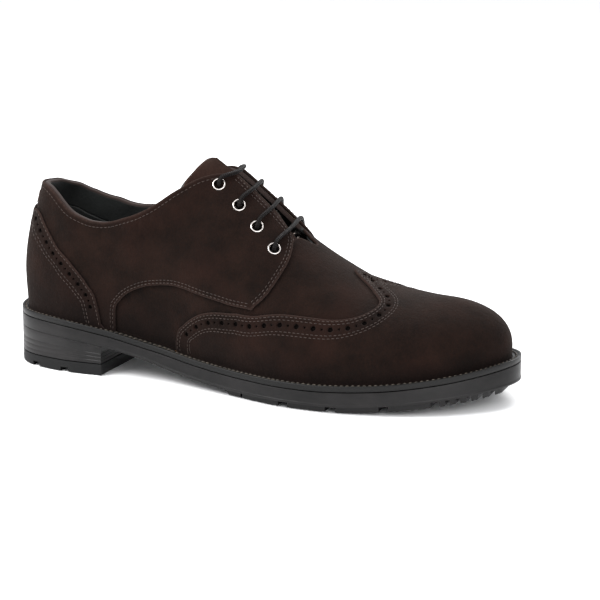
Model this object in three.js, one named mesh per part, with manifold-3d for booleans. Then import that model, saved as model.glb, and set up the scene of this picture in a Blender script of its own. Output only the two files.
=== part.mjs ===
// A laced golf shoe for the right foot, built up as a shoemaker does: the last, which is the
// foot-shaped form, is described first, and every leather is then a flat panel wrapped on it.
// Millimetres. +X points to the toe, -Y to the outside of the foot, +Z up, ground at z = 0.
import * as THREE from 'three';
import { mergeVertices } from 'three/addons/utils/BufferGeometryUtils.js';
import Module from 'manifold-3d';

const wasm = await Module();
wasm.setup();

// ---------------------------------------------------------------- driving dimensions

// The last.
const LAST_LENGTH = 285.5;
const LAST_WIDTH = 89.5;
const LAST_HEIGHT = 156;
const HEEL_SETBACK = 10;        // from the back of the sole to the back of the last
const CROWN_BACK = 0.126;       // ends of the ridge line, as shares of the length
const CROWN_FRONT = 0.858;

// Leathers, by thickness, and the clearance between touching pieces.
const CLEARANCE = 0.3;
const LINING = 1.2;
const STIFFENER = 1.4;
const UPPER = 1.4;
const FOXING = 1.2;
const TONGUE_LEATHER = 1.2;
const TONGUE_PAD = 1.8;

// The bottom, measured down from the feather edge of the last.
const INSOLE = 2.5;
const FILLER = 1.9;
const SHANK = 1.2;
const SHANK_WIDTH = 14;
const SOCK = 1.2;
const WELT_MARGIN = 9.8;        // from the feather edge to the sole edge
const WELT_RIM = 1.6;
const WELT_RIM_WIDTH = 1.8;
const WELT_CHANNEL = 2.8;
const LEAST_CHANNEL = 1.2;       // between the upper and the welt's rim
const LUG_DEPTH = 3.7;
const LUG_INSET = 2.6;
const LUG_ROOT = 1;
const HEEL_BREAST = 67;
const TOP_LIFT = 6.7;
const HEEL_NOTCH = 2.6;

// Eyelets and lace.
const EYELET_BORE = 2.4;
const EYELET_WALL = 0.5;
const EYELET_FLANGE = 3.9;
const CLINCH_FLANGE = 3.5;
const FLANGE = 0.8;
const FLANGE_ROUND = 0.28;
const FLANGE_GAP = 0.5;         // between a flat flange and the curved leather
const CLINCH_GAP = 0.7;
const CLINCH_THICKNESS = 0.56;
const LACE_RADIUS = 1.1;
const TONGUE_DROP = 2 * LACE_RADIUS + CLINCH_GAP + CLINCH_THICKNESS + 3 * CLEARANCE;
const LACE_SIDES = 8;
const LACE_SAMPLES = 2;         // between one point of the lace's route and the next

// Facets of the model.
const END_STEP = 5;
const MIDDLE_STEP = 18;
const SIDE_STEP = 5.2;
const RIM_POINTS = 52;

// ---------------------------------------------------------------- curves

// A smooth curve through the points that never swings past them.
function through(points) {
  const slope = points.slice(1).map((p, i) => (p[1] - points[i][1]) / (p[0] - points[i][0]));
  const tangent = points.map((p, i) => {
    if (i === 0 || i === points.length - 1) return slope[Math.min(i, slope.length - 1)];
    const before = slope[i - 1];
    const after = slope[i];
    return before * after <= 0 ? 0 : 2 * before * after / (before + after);
  });
  return (x) => {
    let i = 0;
    while (i < points.length - 2 && x > points[i + 1][0]) i += 1;
    const span = points[i + 1][0] - points[i][0];
    const t = THREE.MathUtils.clamp((x - points[i][0]) / span, 0, 1);
    const rise = points[i + 1][1] - points[i][1];
    const a = tangent[i] * span - rise;
    const b = rise - tangent[i + 1] * span;
    return points[i][1] + rise * t + t * (1 - t) * (a * (1 - t) + b * t);
  };
}

const alongX = (share) => HEEL_SETBACK + share * LAST_LENGTH;
const shareOf = (x) => (x - HEEL_SETBACK) / LAST_LENGTH;

// Half outlines of the last's bottom, as shares of its length and width, from heel to toe.
const TOE = [1, 0.056];
const OUTSIDE = [[0, 0], [0.0245, -0.207], [0.105, -0.302], [0.228, -0.302], [0.35, -0.313],
  [0.49, -0.413], [0.63, -0.525], [0.7636, -0.503], [0.883, -0.374], [0.967, -0.156], TOE];
const INSIDE = [[0, 0], [0.0245, 0.207], [0.105, 0.302], [0.182, 0.296], [0.28, 0.257],
  [0.42, 0.257], [0.567, 0.385], [0.7, 0.475], [0.82, 0.458], [0.918, 0.369], [0.977, 0.223], TOE];

// Heights above the ground of the feather edge, the ridge and the bottom of the sole.
const featherShare = through([[-0.035, 35], [0.09, 33.3], [0.21, 29], [0.315, 23.4], [0.42, 18.8],
  [0.525, 16.9], [0.665, 16.7], [0.79, 18.3], [0.91, 22.2], [1.04, 28.5]]);
const ridgeShare = through([[-0.035, 0.962], [0.123, 1], [0.245, 0.994], [0.333, 0.917],
  [0.392, 0.83], [0.455, 0.75], [0.494, 0.692], [0.534, 0.628], [0.581, 0.548], [0.63, 0.483],
  [0.669, 0.439], [0.7145, 0.393], [0.76, 0.359], [0.806, 0.341], [0.858, 0.333],
  [0.911, 0.335], [0.96, 0.333], [1.016, 0.321]]);
const soleShare = through([[-0.035, 22.5], [0.088, 21], [0.2, 17.5], [0.28, 13.5], [0.368, 7.5],
  [0.455, 4.6], [0.525, LUG_DEPTH], [0.718, LUG_DEPTH], [0.806, 5.2], [0.911, 8.2], [1.037, 12.7]]);

// How square the last's cross-section is, and how far its side leans out past the feather edge.
const squareness = through([[0, 2.2], [0.175, 2.1], [0.35, 1.85], [0.49, 1.8], [0.63, 1.95],
  [0.753, 2.2], [0.858, 2.5], [1.016, 2.6]]);
const leanOutside = through([[0, 3.4], [0.14, 3.2], [0.3, 5.5], [0.42, 6], [0.595, 3.2],
  [0.77, 2.2], [0.91, 1.5], [1.016, 1]]);
const leanInside = through([[0, 3.4], [0.14, 3.2], [0.3, 7], [0.42, 8], [0.595, 4.5],
  [0.77, 2.5], [0.91, 1.5], [1.016, 1]]);
const LEAN_PEAK = 1.54;         // brings the highest value of the lean's hump to 1

const featherHeight = (x) => featherShare(shareOf(x));
const soleBottom = (x) => soleShare(shareOf(x));

// ---------------------------------------------------------------- the last

// The feather edge: u runs from 0 at the heel to 1 at the toe, negative on the outside.
const toPoint = ([share, width]) => new THREE.Vector3(alongX(share), width * LAST_WIDTH, 0);
const feather = new THREE.CatmullRomCurve3(
  [...OUTSIDE, ...INSIDE.slice(1, -1).reverse()].map(toPoint), true, 'centripetal');
const FEATHER_SAMPLES = 720;
feather.arcLengthDivisions = FEATHER_SAMPLES;
const featherPoints = feather.getSpacedPoints(FEATHER_SAMPLES);
const toeSample = featherPoints.reduce((best, p, i) => (p.x > featherPoints[best].x ? i : best), 0);

function featherAt(u) {
  const share = u < 0 ? -u * toeSample : FEATHER_SAMPLES - u * (FEATHER_SAMPLES - toeSample);
  const wrapped = (share + FEATHER_SAMPLES) % FEATHER_SAMPLES;
  const i = Math.floor(wrapped);
  return featherPoints[i].clone().lerp(featherPoints[i + 1], wrapped - i);
}

function featherNormal(u) {
  const step = 0.004;
  const wrap = (v) => (v > 1 ? v - 2 : v < -1 ? v + 2 : v);
  const along = featherAt(wrap(u + step)).sub(featherAt(wrap(u - step)));
  return new THREE.Vector3(-along.y, along.x, 0).normalize();
}

const crownFor = (base) => new THREE.Vector3(alongX(CROWN_BACK
  + shareOf(base.x) * (CROWN_FRONT - CROWN_BACK)), 0, 0);

// A point of the last: v runs from 0 at the feather edge to 1 on the ridge. Below the feather
// edge, where v is negative, the skin hangs straight down.
const SKIRT = 28;
function lastPoint(u, v) {
  const base = featherAt(u);
  const low = featherHeight(base.x);
  if (v <= 0) return base.setZ(low + v * SKIRT);
  const crown = crownFor(base);
  const share = shareOf(base.x);
  const angle = v * Math.PI / 2;
  const power = 2 / squareness(share);
  const across = 1 - Math.max(Math.cos(angle), 0) ** power;
  const rise = Math.sin(angle) ** power;
  const lean = (u < 0 ? leanOutside : leanInside)(share) * LEAN_PEAK
    * Math.sin(2 * angle) * Math.cos(angle) ** 2;
  const point = base.clone().lerp(crown, across).addScaledVector(featherNormal(u), lean);
  return point.setZ(low + (ridgeShare(shareOf(point.x)) * LAST_HEIGHT - low) * rise);
}

// The pattern is the last's skin laid flat in plan, with v evenly spaced towards the ridge.
function pattern(u, v) {
  const base = featherAt(u);
  return base.clone().lerp(crownFor(base), v);
}

const heelTip = featherAt(0);
const toeTip = featherAt(1);
function onOutside(x, y) {
  const front = crownFor(toeTip);
  const share = THREE.MathUtils.clamp((x - front.x) / (toeTip.x - front.x), 0, 1);
  return y < toeTip.y * share;
}

const BISECTIONS = 30;
function unpattern(x, y) {
  const side = onOutside(x, y) ? -1 : 1;
  const place = new THREE.Vector3(x, y, 0);
  let low = 0;
  let high = 1;
  for (let i = 0; i < BISECTIONS; i += 1) {
    const middle = (low + high) / 2;
    const base = featherAt(side * middle);
    const ray = crownFor(base).sub(base);
    const turn = ray.clone().cross(place.clone().sub(base)).z * side;
    if (turn > 0) low = middle; else high = middle;
  }
  const base = featherAt(side * low);
  const ray = crownFor(base).sub(base);
  return [side * low, place.sub(base).dot(ray) / ray.lengthSq()];
}

function skin(x, y) {
  const [u, v] = unpattern(x, y);
  return lastPoint(u, Math.min(v, 1));
}

function skinNormal(x, y) {
  const step = 0.4;
  const along = skin(x + step, y).sub(skin(x - step, y));
  const across = skin(x, y + step).sub(skin(x, y - step));
  return along.cross(across).normalize();
}

// ---------------------------------------------------------------- solids

function solid(geometry, keepFaces = false) {
  const bare = geometry.clone();
  bare.deleteAttribute('normal');
  bare.deleteAttribute('uv');
  const merged = mergeVertices(bare, 1e-5);
  const triVerts = Uint32Array.from(merged.index.array);
  const vertProperties = Float32Array.from(merged.attributes.position.array);
  const mesh = { numProp: 3, vertProperties, triVerts };
  if (keepFaces) mesh.faceID = Uint32Array.from({ length: triVerts.length / 3 }, (_, i) => i);
  return new wasm.Manifold(new wasm.Mesh(mesh));
}

function geometryOf(manifold) {
  const mesh = manifold.getMesh();
  const geometry = new THREE.BufferGeometry();
  geometry.setAttribute('position', new THREE.BufferAttribute(mesh.vertProperties, 3));
  geometry.setIndex(new THREE.BufferAttribute(mesh.triVerts, 1));
  geometry.computeVertexNormals();
  return geometry;
}

// An upright prism on an outline of the plan.
const TALL = 400;
function prism(outline) {
  const shape = new THREE.Shape(outline.map((p) => new THREE.Vector2(p.x, p.y)));
  const geometry = new THREE.ExtrudeGeometry(shape, { depth: TALL, bevelEnabled: false });
  return solid(geometry.translate(0, 0, -TALL / 4));
}

// A band between two heights that change along the shoe, as wide as the shoe and more.
const BAND_STEP = 15;
function band(top, bottom, from = -40, to = alongX(1) + 60) {
  const count = Math.ceil((to - from) / BAND_STEP);
  const xs = Array.from({ length: count + 1 }, (_, i) => from + (to - from) * i / count);
  const over = xs.map((x) => new THREE.Vector2(x, top(x)));
  const under = xs.map((x) => new THREE.Vector2(x, bottom(x))).reverse();
  const shape = new THREE.Shape([...over, ...under]);
  const geometry = new THREE.ExtrudeGeometry(shape, { depth: TALL, bevelEnabled: false });
  geometry.rotateX(Math.PI / 2);
  return solid(geometry.translate(0, TALL / 2, 0));
}

// The outline of the feather edge, moved outwards by a distance that may change along it.
function footline(distance) {
  const amount = typeof distance === 'function' ? distance : () => distance;
  return Array.from({ length: RIM_POINTS }, (_, i) => {
    const u = -1 + 2 * i / RIM_POINTS;
    return featherAt(u).addScaledVector(featherNormal(u), amount(Math.abs(u)));
  });
}

const below = (depth) => (x) => featherHeight(x) - depth;

function bottomLayer(outline, topDepth, bottomDepth) {
  return prism(outline).intersect(band(below(topDepth), below(bottomDepth)));
}

// ---------------------------------------------------------------- lasted panels

// The pattern plane is cut into a lattice, and every panel bends along the same lattice lines,
// so that stacked panels stay parallel.
function latticeLines() {
  const xs = [];
  const ends = [alongX(0) + 20, alongX(1) - 36];
  for (let x = alongX(0) - 16; x < ends[0]; x += END_STEP) xs.push(x);
  for (let x = ends[0]; x < ends[1]; x += MIDDLE_STEP) xs.push(x);
  for (let x = ends[1]; x < alongX(1) + 16; x += END_STEP) xs.push(x);
  const ys = [];
  for (let y = -0.6 * LAST_WIDTH; y < 0.6 * LAST_WIDTH; y += SIDE_STEP) ys.push(y);
  return [xs, ys];
}
const [latticeX, latticeY] = latticeLines();
const latticeNodes = latticeY.map((y) => latticeX.map((x) => (
  { point: skin(x, y), normal: skinNormal(x, y) })));

const HALF_SLAB = 4;

function latticeSlab() {
  const plane = new THREE.PlaneGeometry(1, 1, latticeX.length - 1, latticeY.length - 1);
  const face = Array.from(plane.index.array);
  const columns = latticeX.length;
  const count = columns * latticeY.length;
  const positions = [];
  [HALF_SLAB, -HALF_SLAB].forEach((side) => {
    for (let k = 0; k < count; k += 1) {
      const i = k % columns;
      const j = latticeY.length - 1 - Math.floor(k / columns);
      positions.push(latticeX[i], latticeY[j], side);
    }
  });
  const index = [...face];
  for (let k = 0; k < face.length; k += 3) {
    index.push(face[k] + count, face[k + 2] + count, face[k + 1] + count);
  }
  const last = count - 1;
  const rim = [];
  for (let k = 0; k < columns - 1; k += 1) rim.push(k);
  for (let k = columns - 1; k < last; k += columns) rim.push(k);
  for (let k = last; k > count - columns; k -= 1) rim.push(k);
  for (let k = count - columns; k > 0; k -= columns) rim.push(k);
  rim.forEach((a, k) => {
    const b = rim[(k + 1) % rim.length];
    index.push(a, b, b + count, a, b + count, a + count);
  });
  const geometry = new THREE.BufferGeometry();
  geometry.setAttribute('position', new THREE.Float32BufferAttribute(positions, 3));
  geometry.setIndex(index);
  return solid(geometry, true);
}
const slab = latticeSlab();

function cellOf(lines, value) {
  let i = 0;
  while (i < lines.length - 2 && value > lines[i + 1]) i += 1;
  return [i, (value - lines[i]) / (lines[i + 1] - lines[i])];
}

// Where a spot of the pattern lies on the faceted last, with the direction out of it.
function onLast(x, y) {
  const [i, s] = cellOf(latticeX, x);
  const [j, t] = cellOf(latticeY, y);
  const weights = t > s
    ? [[0, 0, 1 - t], [0, 1, t - s], [1, 1, s]]
    : [[0, 0, 1 - s], [1, 0, s - t], [1, 1, t]];
  const point = new THREE.Vector3();
  const normal = new THREE.Vector3();
  weights.forEach(([a, b, weight]) => {
    const node = latticeNodes[j + b][i + a];
    point.addScaledVector(node.point, weight);
    normal.addScaledVector(node.normal, weight);
  });
  return { point, normal };
}

function lastedAt(u, v, offset) {
  const flat = pattern(u, v);
  const { point, normal } = onLast(flat.x, flat.y);
  return point.addScaledVector(normal, offset);
}

// A panel: cut flat by its outline, then wrapped on the last between two distances from it.
// Its thickness lies along the last's own normals, unless another way is given. It ends at the
// level of the insole's underside.
const alongNormal = (offset) => (x, y) => onLast(x, y).normal.multiplyScalar(offset);
const insoleTop = CLEARANCE;
const insoleBottom = insoleTop + INSOLE;
const underInsole = band(below(insoleBottom - CLEARANCE), () => -TALL / 4);
function panel(outline, inner, outer, place = alongNormal) {
  const flat = slab.intersect(prism(outline));
  const mesh = flat.getMesh();
  const placed = mesh.vertProperties.slice();
  for (let k = 0; k < placed.length; k += mesh.numProp) {
    const [x, y, z] = [placed[k], placed[k + 1], placed[k + 2]];
    const offset = place(z > 0 ? outer : inner);
    onLast(x, y).point.add(offset(x, y)).toArray(placed, k);
  }
  const wrapped = new wasm.Manifold(new wasm.Mesh({
    numProp: mesh.numProp, vertProperties: placed, triVerts: mesh.triVerts }));
  return wrapped.subtract(underInsole);
}

// Outline helpers. A run of spots is given as [u, v] on the inside, and mirrored for the outside.
const spots = (list, side = 1) => list.map(([u, v]) => pattern(side * u, v));
const UNDER = -0.3;
const PAST_TOE = 0.995;       // where a run that has turned the toe goes on
const SEAM_GAP = 0.0015;      // between panels that meet edge to edge, as a share of the footline
function featherRun(from, to) {
  const count = Math.max(2, Math.ceil(Math.abs(to - from) * RIM_POINTS / 2));
  return Array.from({ length: count + 1 }, (_, i) => pattern(from + (to - from) * i / count, UNDER));
}

// ---------------------------------------------------------------- outlines of the uppers

const TOPLINE = [[0.06, 0.36], [0.11, 0.374], [0.132, 0.336], [0.157, 0.311], [0.177, 0.301],
  [0.206, 0.303], [0.233, 0.318], [0.269, 0.358], [0.293, 0.402], [0.324, 0.482],
  [0.353, 0.577], [0.381, 0.685], [0.404, 0.77], [0.431, 0.848]];
const TOPLINE_BACK = 0.345;
const FACING = [[0.437, 0.874], [0.48, 0.87], [0.528, 0.867], [0.574, 0.853], [0.587, 0.823]];
const TAB_FRONT = [[0.592, 0.741], [0.591, 0.651], [0.578, 0.504], [0.561, 0.389], [0.537, 0.295]];
const QUARTER_REACH = 0.243;
const QUARTER_SEAM = [[0.453, 0.257], [0.388, 0.238], [0.354, 0.215], [0.317, 0.181],
  [0.285, 0.14], [0.256, 0.089], [0.245, 0.049], [QUARTER_REACH, 0]];
const CAP_EDGE = [[0.368, 0], [0.375, 0.071], [0.391, 0.112], [0.41, 0.15], [0.433, 0.185],
  [0.5, 0.245], [0.552, 0.288], [0.682, 0.427], [0.727, 0.505], [0.756, 0.594], [0.774, 0.68],
  [0.781, 0.749], [0.777, 0.813], [0.765, 0.9]];
const CAP_PEAK = 0.735;
const FOXING_TOP = 0.298;
const FOXING_EDGE = [[0.03, FOXING_TOP], [0.05, FOXING_TOP - 0.003], [0.088, 0.272],
  [0.097, 0.253], [0.131, 0.192], [0.162, 0.151], [0.192, 0.103], [0.209, 0.061], [0.226, 0]];
const VAMP_BACK = [[0.6, 0.9], [0.583, 0.75], [0.58, 0.6], [0.56, 0.5], [0.5, 0.42],
  [0.42, 0.34], [0.33, 0.28], [0.26, 0.2], [0.215, 0.1], [0.205, 0]];
const STAY = [[0.432, 0.86], [0.48, 0.856], [0.528, 0.853], [0.568, 0.842], [0.572, 0.8],
  [0.572, 0.6], [0.52, 0.6], [0.47, 0.615], [0.41, 0.62], [0.4, 0.7], [0.415, 0.8]];
const COUNTER_EDGE = [[0.06, 0.2], [0.12, 0.16], [0.17, 0.1], [0.195, 0.03], [0.197, 0]];
const PAD_LOW = [[0.345, 0.44], [0.3, 0.3], [0.26, 0.23], [0.2, 0.2], [0.14, 0.21], [0.07, 0.23]];
const PAD_BACK = 0.23;
const VAMP_THROAT = 0.64;
const LINING_JOIN = 0.6;
const HEEL_LINING_JOIN = 0.25;
const EYELETS = [[0.419, 0.724], [0.469, 0.701], [0.515, 0.676], [0.558, 0.647]];
const LUG_ROWS = [[0.494, 0.525], [0.529, 0.613], [0.634, 0.711], [0.732, 0.813], [0.83, 0.904]];
const LUG_TEETH = 6;
const TEETH_FROM = 0.918;
const TEETH_TO = 1.02;
const TOOTH_SHARE = 0.6;      // of the pitch; the rest is gap

const shrink = (list, du, dv) => list.map(([u, v]) => [u + du, v + dv]);

function quarterOutline(side) {
  return [pattern(side * SEAM_GAP, UNDER), pattern(side * SEAM_GAP, TOPLINE_BACK),
    ...spots([...TOPLINE, ...FACING, ...TAB_FRONT, ...QUARTER_SEAM], side),
    ...featherRun(side * QUARTER_REACH, side * 4 * SEAM_GAP)];
}

function acrossRidge(edge, ridgeU) {
  return [...spots(edge, -1), pattern(-ridgeU, 1), ...spots([...edge].reverse(), 1)];
}

function capOutline() {
  return [...acrossRidge(CAP_EDGE, CAP_PEAK), ...featherRun(0.368, 1), ...featherRun(-PAST_TOE, -0.368)];
}

const PUFF_LINE = 0.8;
const puffEdge = (shift) => [[PUFF_LINE + shift, UNDER], [PUFF_LINE + shift, 0.3],
  [PUFF_LINE + shift, 0.7]];

function vampOutline() {
  const back = [...VAMP_BACK].reverse();
  return [...acrossRidge(back, VAMP_THROAT), ...featherRun(0.205, PUFF_LINE),
    ...spots(puffEdge(0).slice(1), 1), pattern(PUFF_LINE, 1),
    ...spots(puffEdge(0).slice(1).reverse(), -1), ...featherRun(-PUFF_LINE, -0.205)];
}

function puffOutline() {
  const edge = puffEdge(SEAM_GAP);
  return [...acrossRidge(edge, PUFF_LINE + SEAM_GAP), ...featherRun(PUFF_LINE + SEAM_GAP, 1),
    ...featherRun(-PAST_TOE, -PUFF_LINE - SEAM_GAP)];
}

function vampLiningOutline() {
  const edge = [[LINING_JOIN, UNDER], [LINING_JOIN, 0.3], [LINING_JOIN, 0.75], [0.615, 0.92]];
  return [...acrossRidge(edge, VAMP_THROAT), ...featherRun(LINING_JOIN, 1),
    ...featherRun(-PAST_TOE, -LINING_JOIN)];
}

function heelOutline(edge, back, shift = 0) {
  const reach = edge[edge.length - 1][0];
  return [pattern(0, back), ...spots(shrink(edge, -shift, 0), 1),
    ...featherRun(reach - shift, -reach + shift),
    ...spots([...shrink(edge, -shift, 0)].reverse(), -1)];
}

const COLLAR_BAND = 0.09;
const BAND_GAP = 0.008;
const collarLine = [[0, TOPLINE_BACK], ...TOPLINE.slice(0, 11)];
function collarOutline(top, bottom, reach) {
  const over = collarLine.filter(([u]) => u <= reach);
  const high = shrink(over, 0, -top);
  const low = shrink(over, 0, -bottom);
  const upper = [...spots(high, -1).reverse(), ...spots(high, 1).slice(1)];
  const lower = [...spots(low, 1).reverse(), ...spots(low, -1).slice(1)];
  return [...upper, ...lower];
}

function padOutline() {
  const top = shrink(collarLine.filter(([u]) => u <= 0.353), 0, -0.015);
  return [...spots(top, -1).reverse(), ...spots(top, 1).slice(1),
    ...spots(PAD_LOW, 1), pattern(0, PAD_BACK), ...spots([...PAD_LOW].reverse(), -1)];
}

function quarterLiningOutline(side) {
  const join = LINING_JOIN - SEAM_GAP;
  const collared = TOPLINE.filter(([u]) => u > HEEL_LINING_JOIN && u < 0.35);
  const under = shrink(collared, 0, -COLLAR_BAND - BAND_GAP);
  const front = TOPLINE.filter(([u]) => u > 0.36);
  return [pattern(side * HEEL_LINING_JOIN, UNDER), pattern(side * HEEL_LINING_JOIN, 0.237),
    ...spots(under, side), ...spots([[0.356, 0.495], [0.3585, 0.59]], side),
    ...spots([...front, ...FACING.slice(0, 4)], side),
    ...spots([[join, 0.83], [join, 0.3]], side),
    ...featherRun(side * join, side * HEEL_LINING_JOIN).slice(0, -1)];
}

function heelLiningOutline() {
  const reach = HEEL_LINING_JOIN - SEAM_GAP;
  const under = shrink(collarLine.filter(([u]) => u < reach), 0, -COLLAR_BAND - BAND_GAP);
  return [...spots(under, -1).reverse(), ...spots(under, 1).slice(1), pattern(reach, 0.236),
    ...featherRun(reach, -reach), pattern(-reach, 0.236)];
}

const TONGUE_SHARE = 0.145;
const TONGUE_HALF = TONGUE_SHARE * LAST_WIDTH;
const TONGUE_PAD_INSET = 3;
const TONGUE_TOP = alongX(0.372);
const TONGUE_BASE = alongX(0.675);
const TONGUE_PAD_BASE = alongX(0.56);
const TONGUE_WIDEST = alongX(0.45);
const TONGUE_TAPER = 0.77;      // width at the base, as a share of the widest
const TONGUE_CORNER = [[7, 0.92], [1.5, 0.55]];
function tongueOutline(inset, base) {
  const half = TONGUE_HALF - inset;
  const back = TONGUE_TOP + inset;
  const corner = TONGUE_CORNER.map(([ahead, width]) => [back + ahead, half * width]);
  const side = [[base, half * TONGUE_TAPER], [TONGUE_WIDEST, half], ...corner];
  const run = (sign) => side.map(([x, y]) => new THREE.Vector3(x, sign * y, 0));
  return [...run(1), new THREE.Vector3(back, 0, 0), ...run(-1).reverse()];
}

// The tongue sinks below the facings to leave room for the lace. Its own layers are stacked
// along the direction out of the ridge, so that they don't crowd inside the bend.
const SINK_START = alongX(0.655);
const SINK_END = alongX(0.6);
function tonguePanel(outline, inner, outer) {
  const drop = (x) => THREE.MathUtils.smoothstep(-x, -SINK_START, -SINK_END) * TONGUE_DROP;
  const place = (offset) => (x, y) => onLast(x, y).normal.multiplyScalar(-drop(x) - CLEARANCE)
    .addScaledVector(onLast(x, 0).normal, offset);
  return panel(outline, inner, outer, place);
}

// ---------------------------------------------------------------- layers

const liningOut = LINING;
const middleIn = liningOut + CLEARANCE;
const middleOut = middleIn + STIFFENER;
const upperIn = middleOut + CLEARANCE;
const upperOut = upperIn + UPPER;
const foxingIn = upperOut + CLEARANCE;
const foxingOut = foxingIn + FOXING;

// ---------------------------------------------------------------- eyelets

function axisFrame(u, v) {
  const flat = pattern(u, v);
  const { point, normal } = onLast(flat.x, flat.y);
  const turn = new THREE.Quaternion().setFromUnitVectors(new THREE.Vector3(0, 1, 0), normal.normalize());
  return { point, normal, turn };
}

function placed(geometry, { point, turn }) {
  return geometry.applyQuaternion(turn).translate(point.x, point.y, point.z);
}

const BARREL_SIDES = 12;
const HOLE_GAP = 0.35;
function eyeletHole(u, v) {
  const radius = EYELET_BORE + EYELET_WALL + HOLE_GAP;
  const reach = foxingOut * 4;
  return solid(placed(new THREE.CylinderGeometry(radius, radius, reach, BARREL_SIDES), axisFrame(u, v)));
}

function eyelet(u, v) {
  const barrel = EYELET_BORE + EYELET_WALL;
  const high = upperOut + FLANGE_GAP;
  const low = -CLINCH_GAP;
  const foot = low - CLINCH_THICKNESS;
  const profile = [[EYELET_BORE, foot], [CLINCH_FLANGE, foot], [CLINCH_FLANGE, low], 
    [barrel, low], [barrel, high], [EYELET_FLANGE, high],
    [EYELET_FLANGE - FLANGE_ROUND, high + FLANGE], [EYELET_BORE + FLANGE_ROUND, high + FLANGE],
    [EYELET_BORE, high + FLANGE - FLANGE_ROUND], [EYELET_BORE, foot]];
  const points = profile.map(([r, h]) => new THREE.Vector2(r, h));
  return placed(new THREE.LatheGeometry(points, BARREL_SIDES), axisFrame(u, v));
}

const holes = {
  outside: EYELETS.map(([u, v]) => eyeletHole(-u, v)),
  inside: EYELETS.map(([u, v]) => eyeletHole(u, v)),
};
const drilled = (piece, side) => holes[side].reduce((left, hole) => left.subtract(hole), piece);

// ---------------------------------------------------------------- the lace

// Samples fall evenly between the route's points, so that they crowd where the points do.
class Route extends THREE.CatmullRomCurve3 {
  getUtoTmapping(u) {
    return u;
  }
}

const LACE_RISE = 0.035;      // where the lace has come over the flange, from the eyelet's centre
const LACE_CLEAR = 0.8;

// Straight bars over the tongue, joined under the facings, with both ends tucked inside.
function laceGeometry() {
  const inside = -CLINCH_GAP - CLINCH_THICKNESS - LACE_RADIUS - CLEARANCE;
  const flange = upperOut + FLANGE_GAP + FLANGE;
  const near = (side, row, du, dv, offset) => {
    const [u, v] = EYELETS[row];
    return lastedAt(side * (u + du), v + dv, offset);
  };
  const out = (side, row, du, dv) => [
    near(side, row, du, dv, inside),
    near(side, row, 0, 0, 0),
    near(side, row, 0, 0, flange),
    near(side, row, 0, LACE_RISE, flange + LACE_RADIUS + LACE_CLEAR),
    lastedAt(side * FACING[row][0], FACING[row][1], upperOut + LACE_RADIUS + FLANGE_GAP),
  ];
  const bar = (from, row, start, end) => [...out(from, row, ...start),
    ...out(-from, row, ...end).reverse()];
  const tucked = [0, -0.025];
  const back = [-0.005, 0];
  const ahead = [0.005, 0];
  const points = [
    ...[-0.2, -0.11].map((dv) => near(-1, 1, 0, dv, inside)),
    ...bar(-1, 1, tucked, ahead),
    near(1, 2, 0, 0.07, inside),
    ...bar(1, 3, back, back),
    ...bar(-1, 2, ahead, [-0.003, -0.015]),
    near(1, 1, 0, -0.09, inside),
    ...bar(1, 0, ahead, tucked),
    ...[-0.11, -0.2].map((dv) => near(-1, 0, 0, dv, inside)),
  ];
  const path = new Route(points, false, 'centripetal');
  const section = new THREE.Shape(Array.from({ length: LACE_SIDES }, (_, i) => {
    const angle = 2 * Math.PI * i / LACE_SIDES;
    return new THREE.Vector2(LACE_RADIUS * Math.cos(angle), LACE_RADIUS * Math.sin(angle));
  }));
  const steps = (points.length - 1) * LACE_SAMPLES;
  return new THREE.ExtrudeGeometry(section, { steps, extrudePath: path });
}

// ---------------------------------------------------------------- the bottom

const fillerTop = insoleBottom + CLEARANCE;
const fillerBottom = fillerTop + FILLER;
const outsoleTop = fillerBottom + CLEARANCE;
const INSOLE_GAP = 0.9;
const SOCK_GAP = 1.3;
const WELT_GAP = 0.5;

const upperEdge = through([[0, foxingOut + WELT_GAP], [0.24, foxingOut + WELT_GAP],
  [0.32, upperOut + WELT_GAP], [1, upperOut + WELT_GAP]]);
const soleLine = footline(WELT_MARGIN);

function welt() {
  const ring = prism(soleLine).subtract(prism(footline(upperEdge)));
  const body = ring.intersect(band(below(WELT_RIM), below(fillerBottom)));
  const rimInside = (u) => Math.max(WELT_MARGIN - WELT_RIM_WIDTH, upperEdge(u) + LEAST_CHANNEL);
  const channel = prism(footline(rimInside))
    .intersect(band(below(0), below(WELT_CHANNEL)));
  return body.subtract(channel);
}

const SHANK_RUN = [0.13, 0.5];
function shankOutline(gap) {
  const half = SHANK_WIDTH / 2 + gap;
  const ends = [alongX(SHANK_RUN[0]) - gap, alongX(SHANK_RUN[1]) + gap];
  return [[ends[0], -half], [ends[1], -half], [ends[1], half], [ends[0], half]]
    .map(([x, y]) => new THREE.Vector3(x, y, 0));
}

function shank() {
  return bottomLayer(shankOutline(0), fillerBottom - SHANK, fillerBottom);
}

function filler() {
  const inner = (u) => upperEdge(u) - CLEARANCE;
  return bottomLayer(footline(inner), fillerTop, fillerBottom).subtract(prism(shankOutline(CLEARANCE)));
}

function crossBar(from, to, half = LAST_WIDTH) {
  return prism([[from, -half], [to, -half], [to, half], [from, half]]
    .map(([x, y]) => new THREE.Vector3(x, y, 0)));
}

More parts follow.
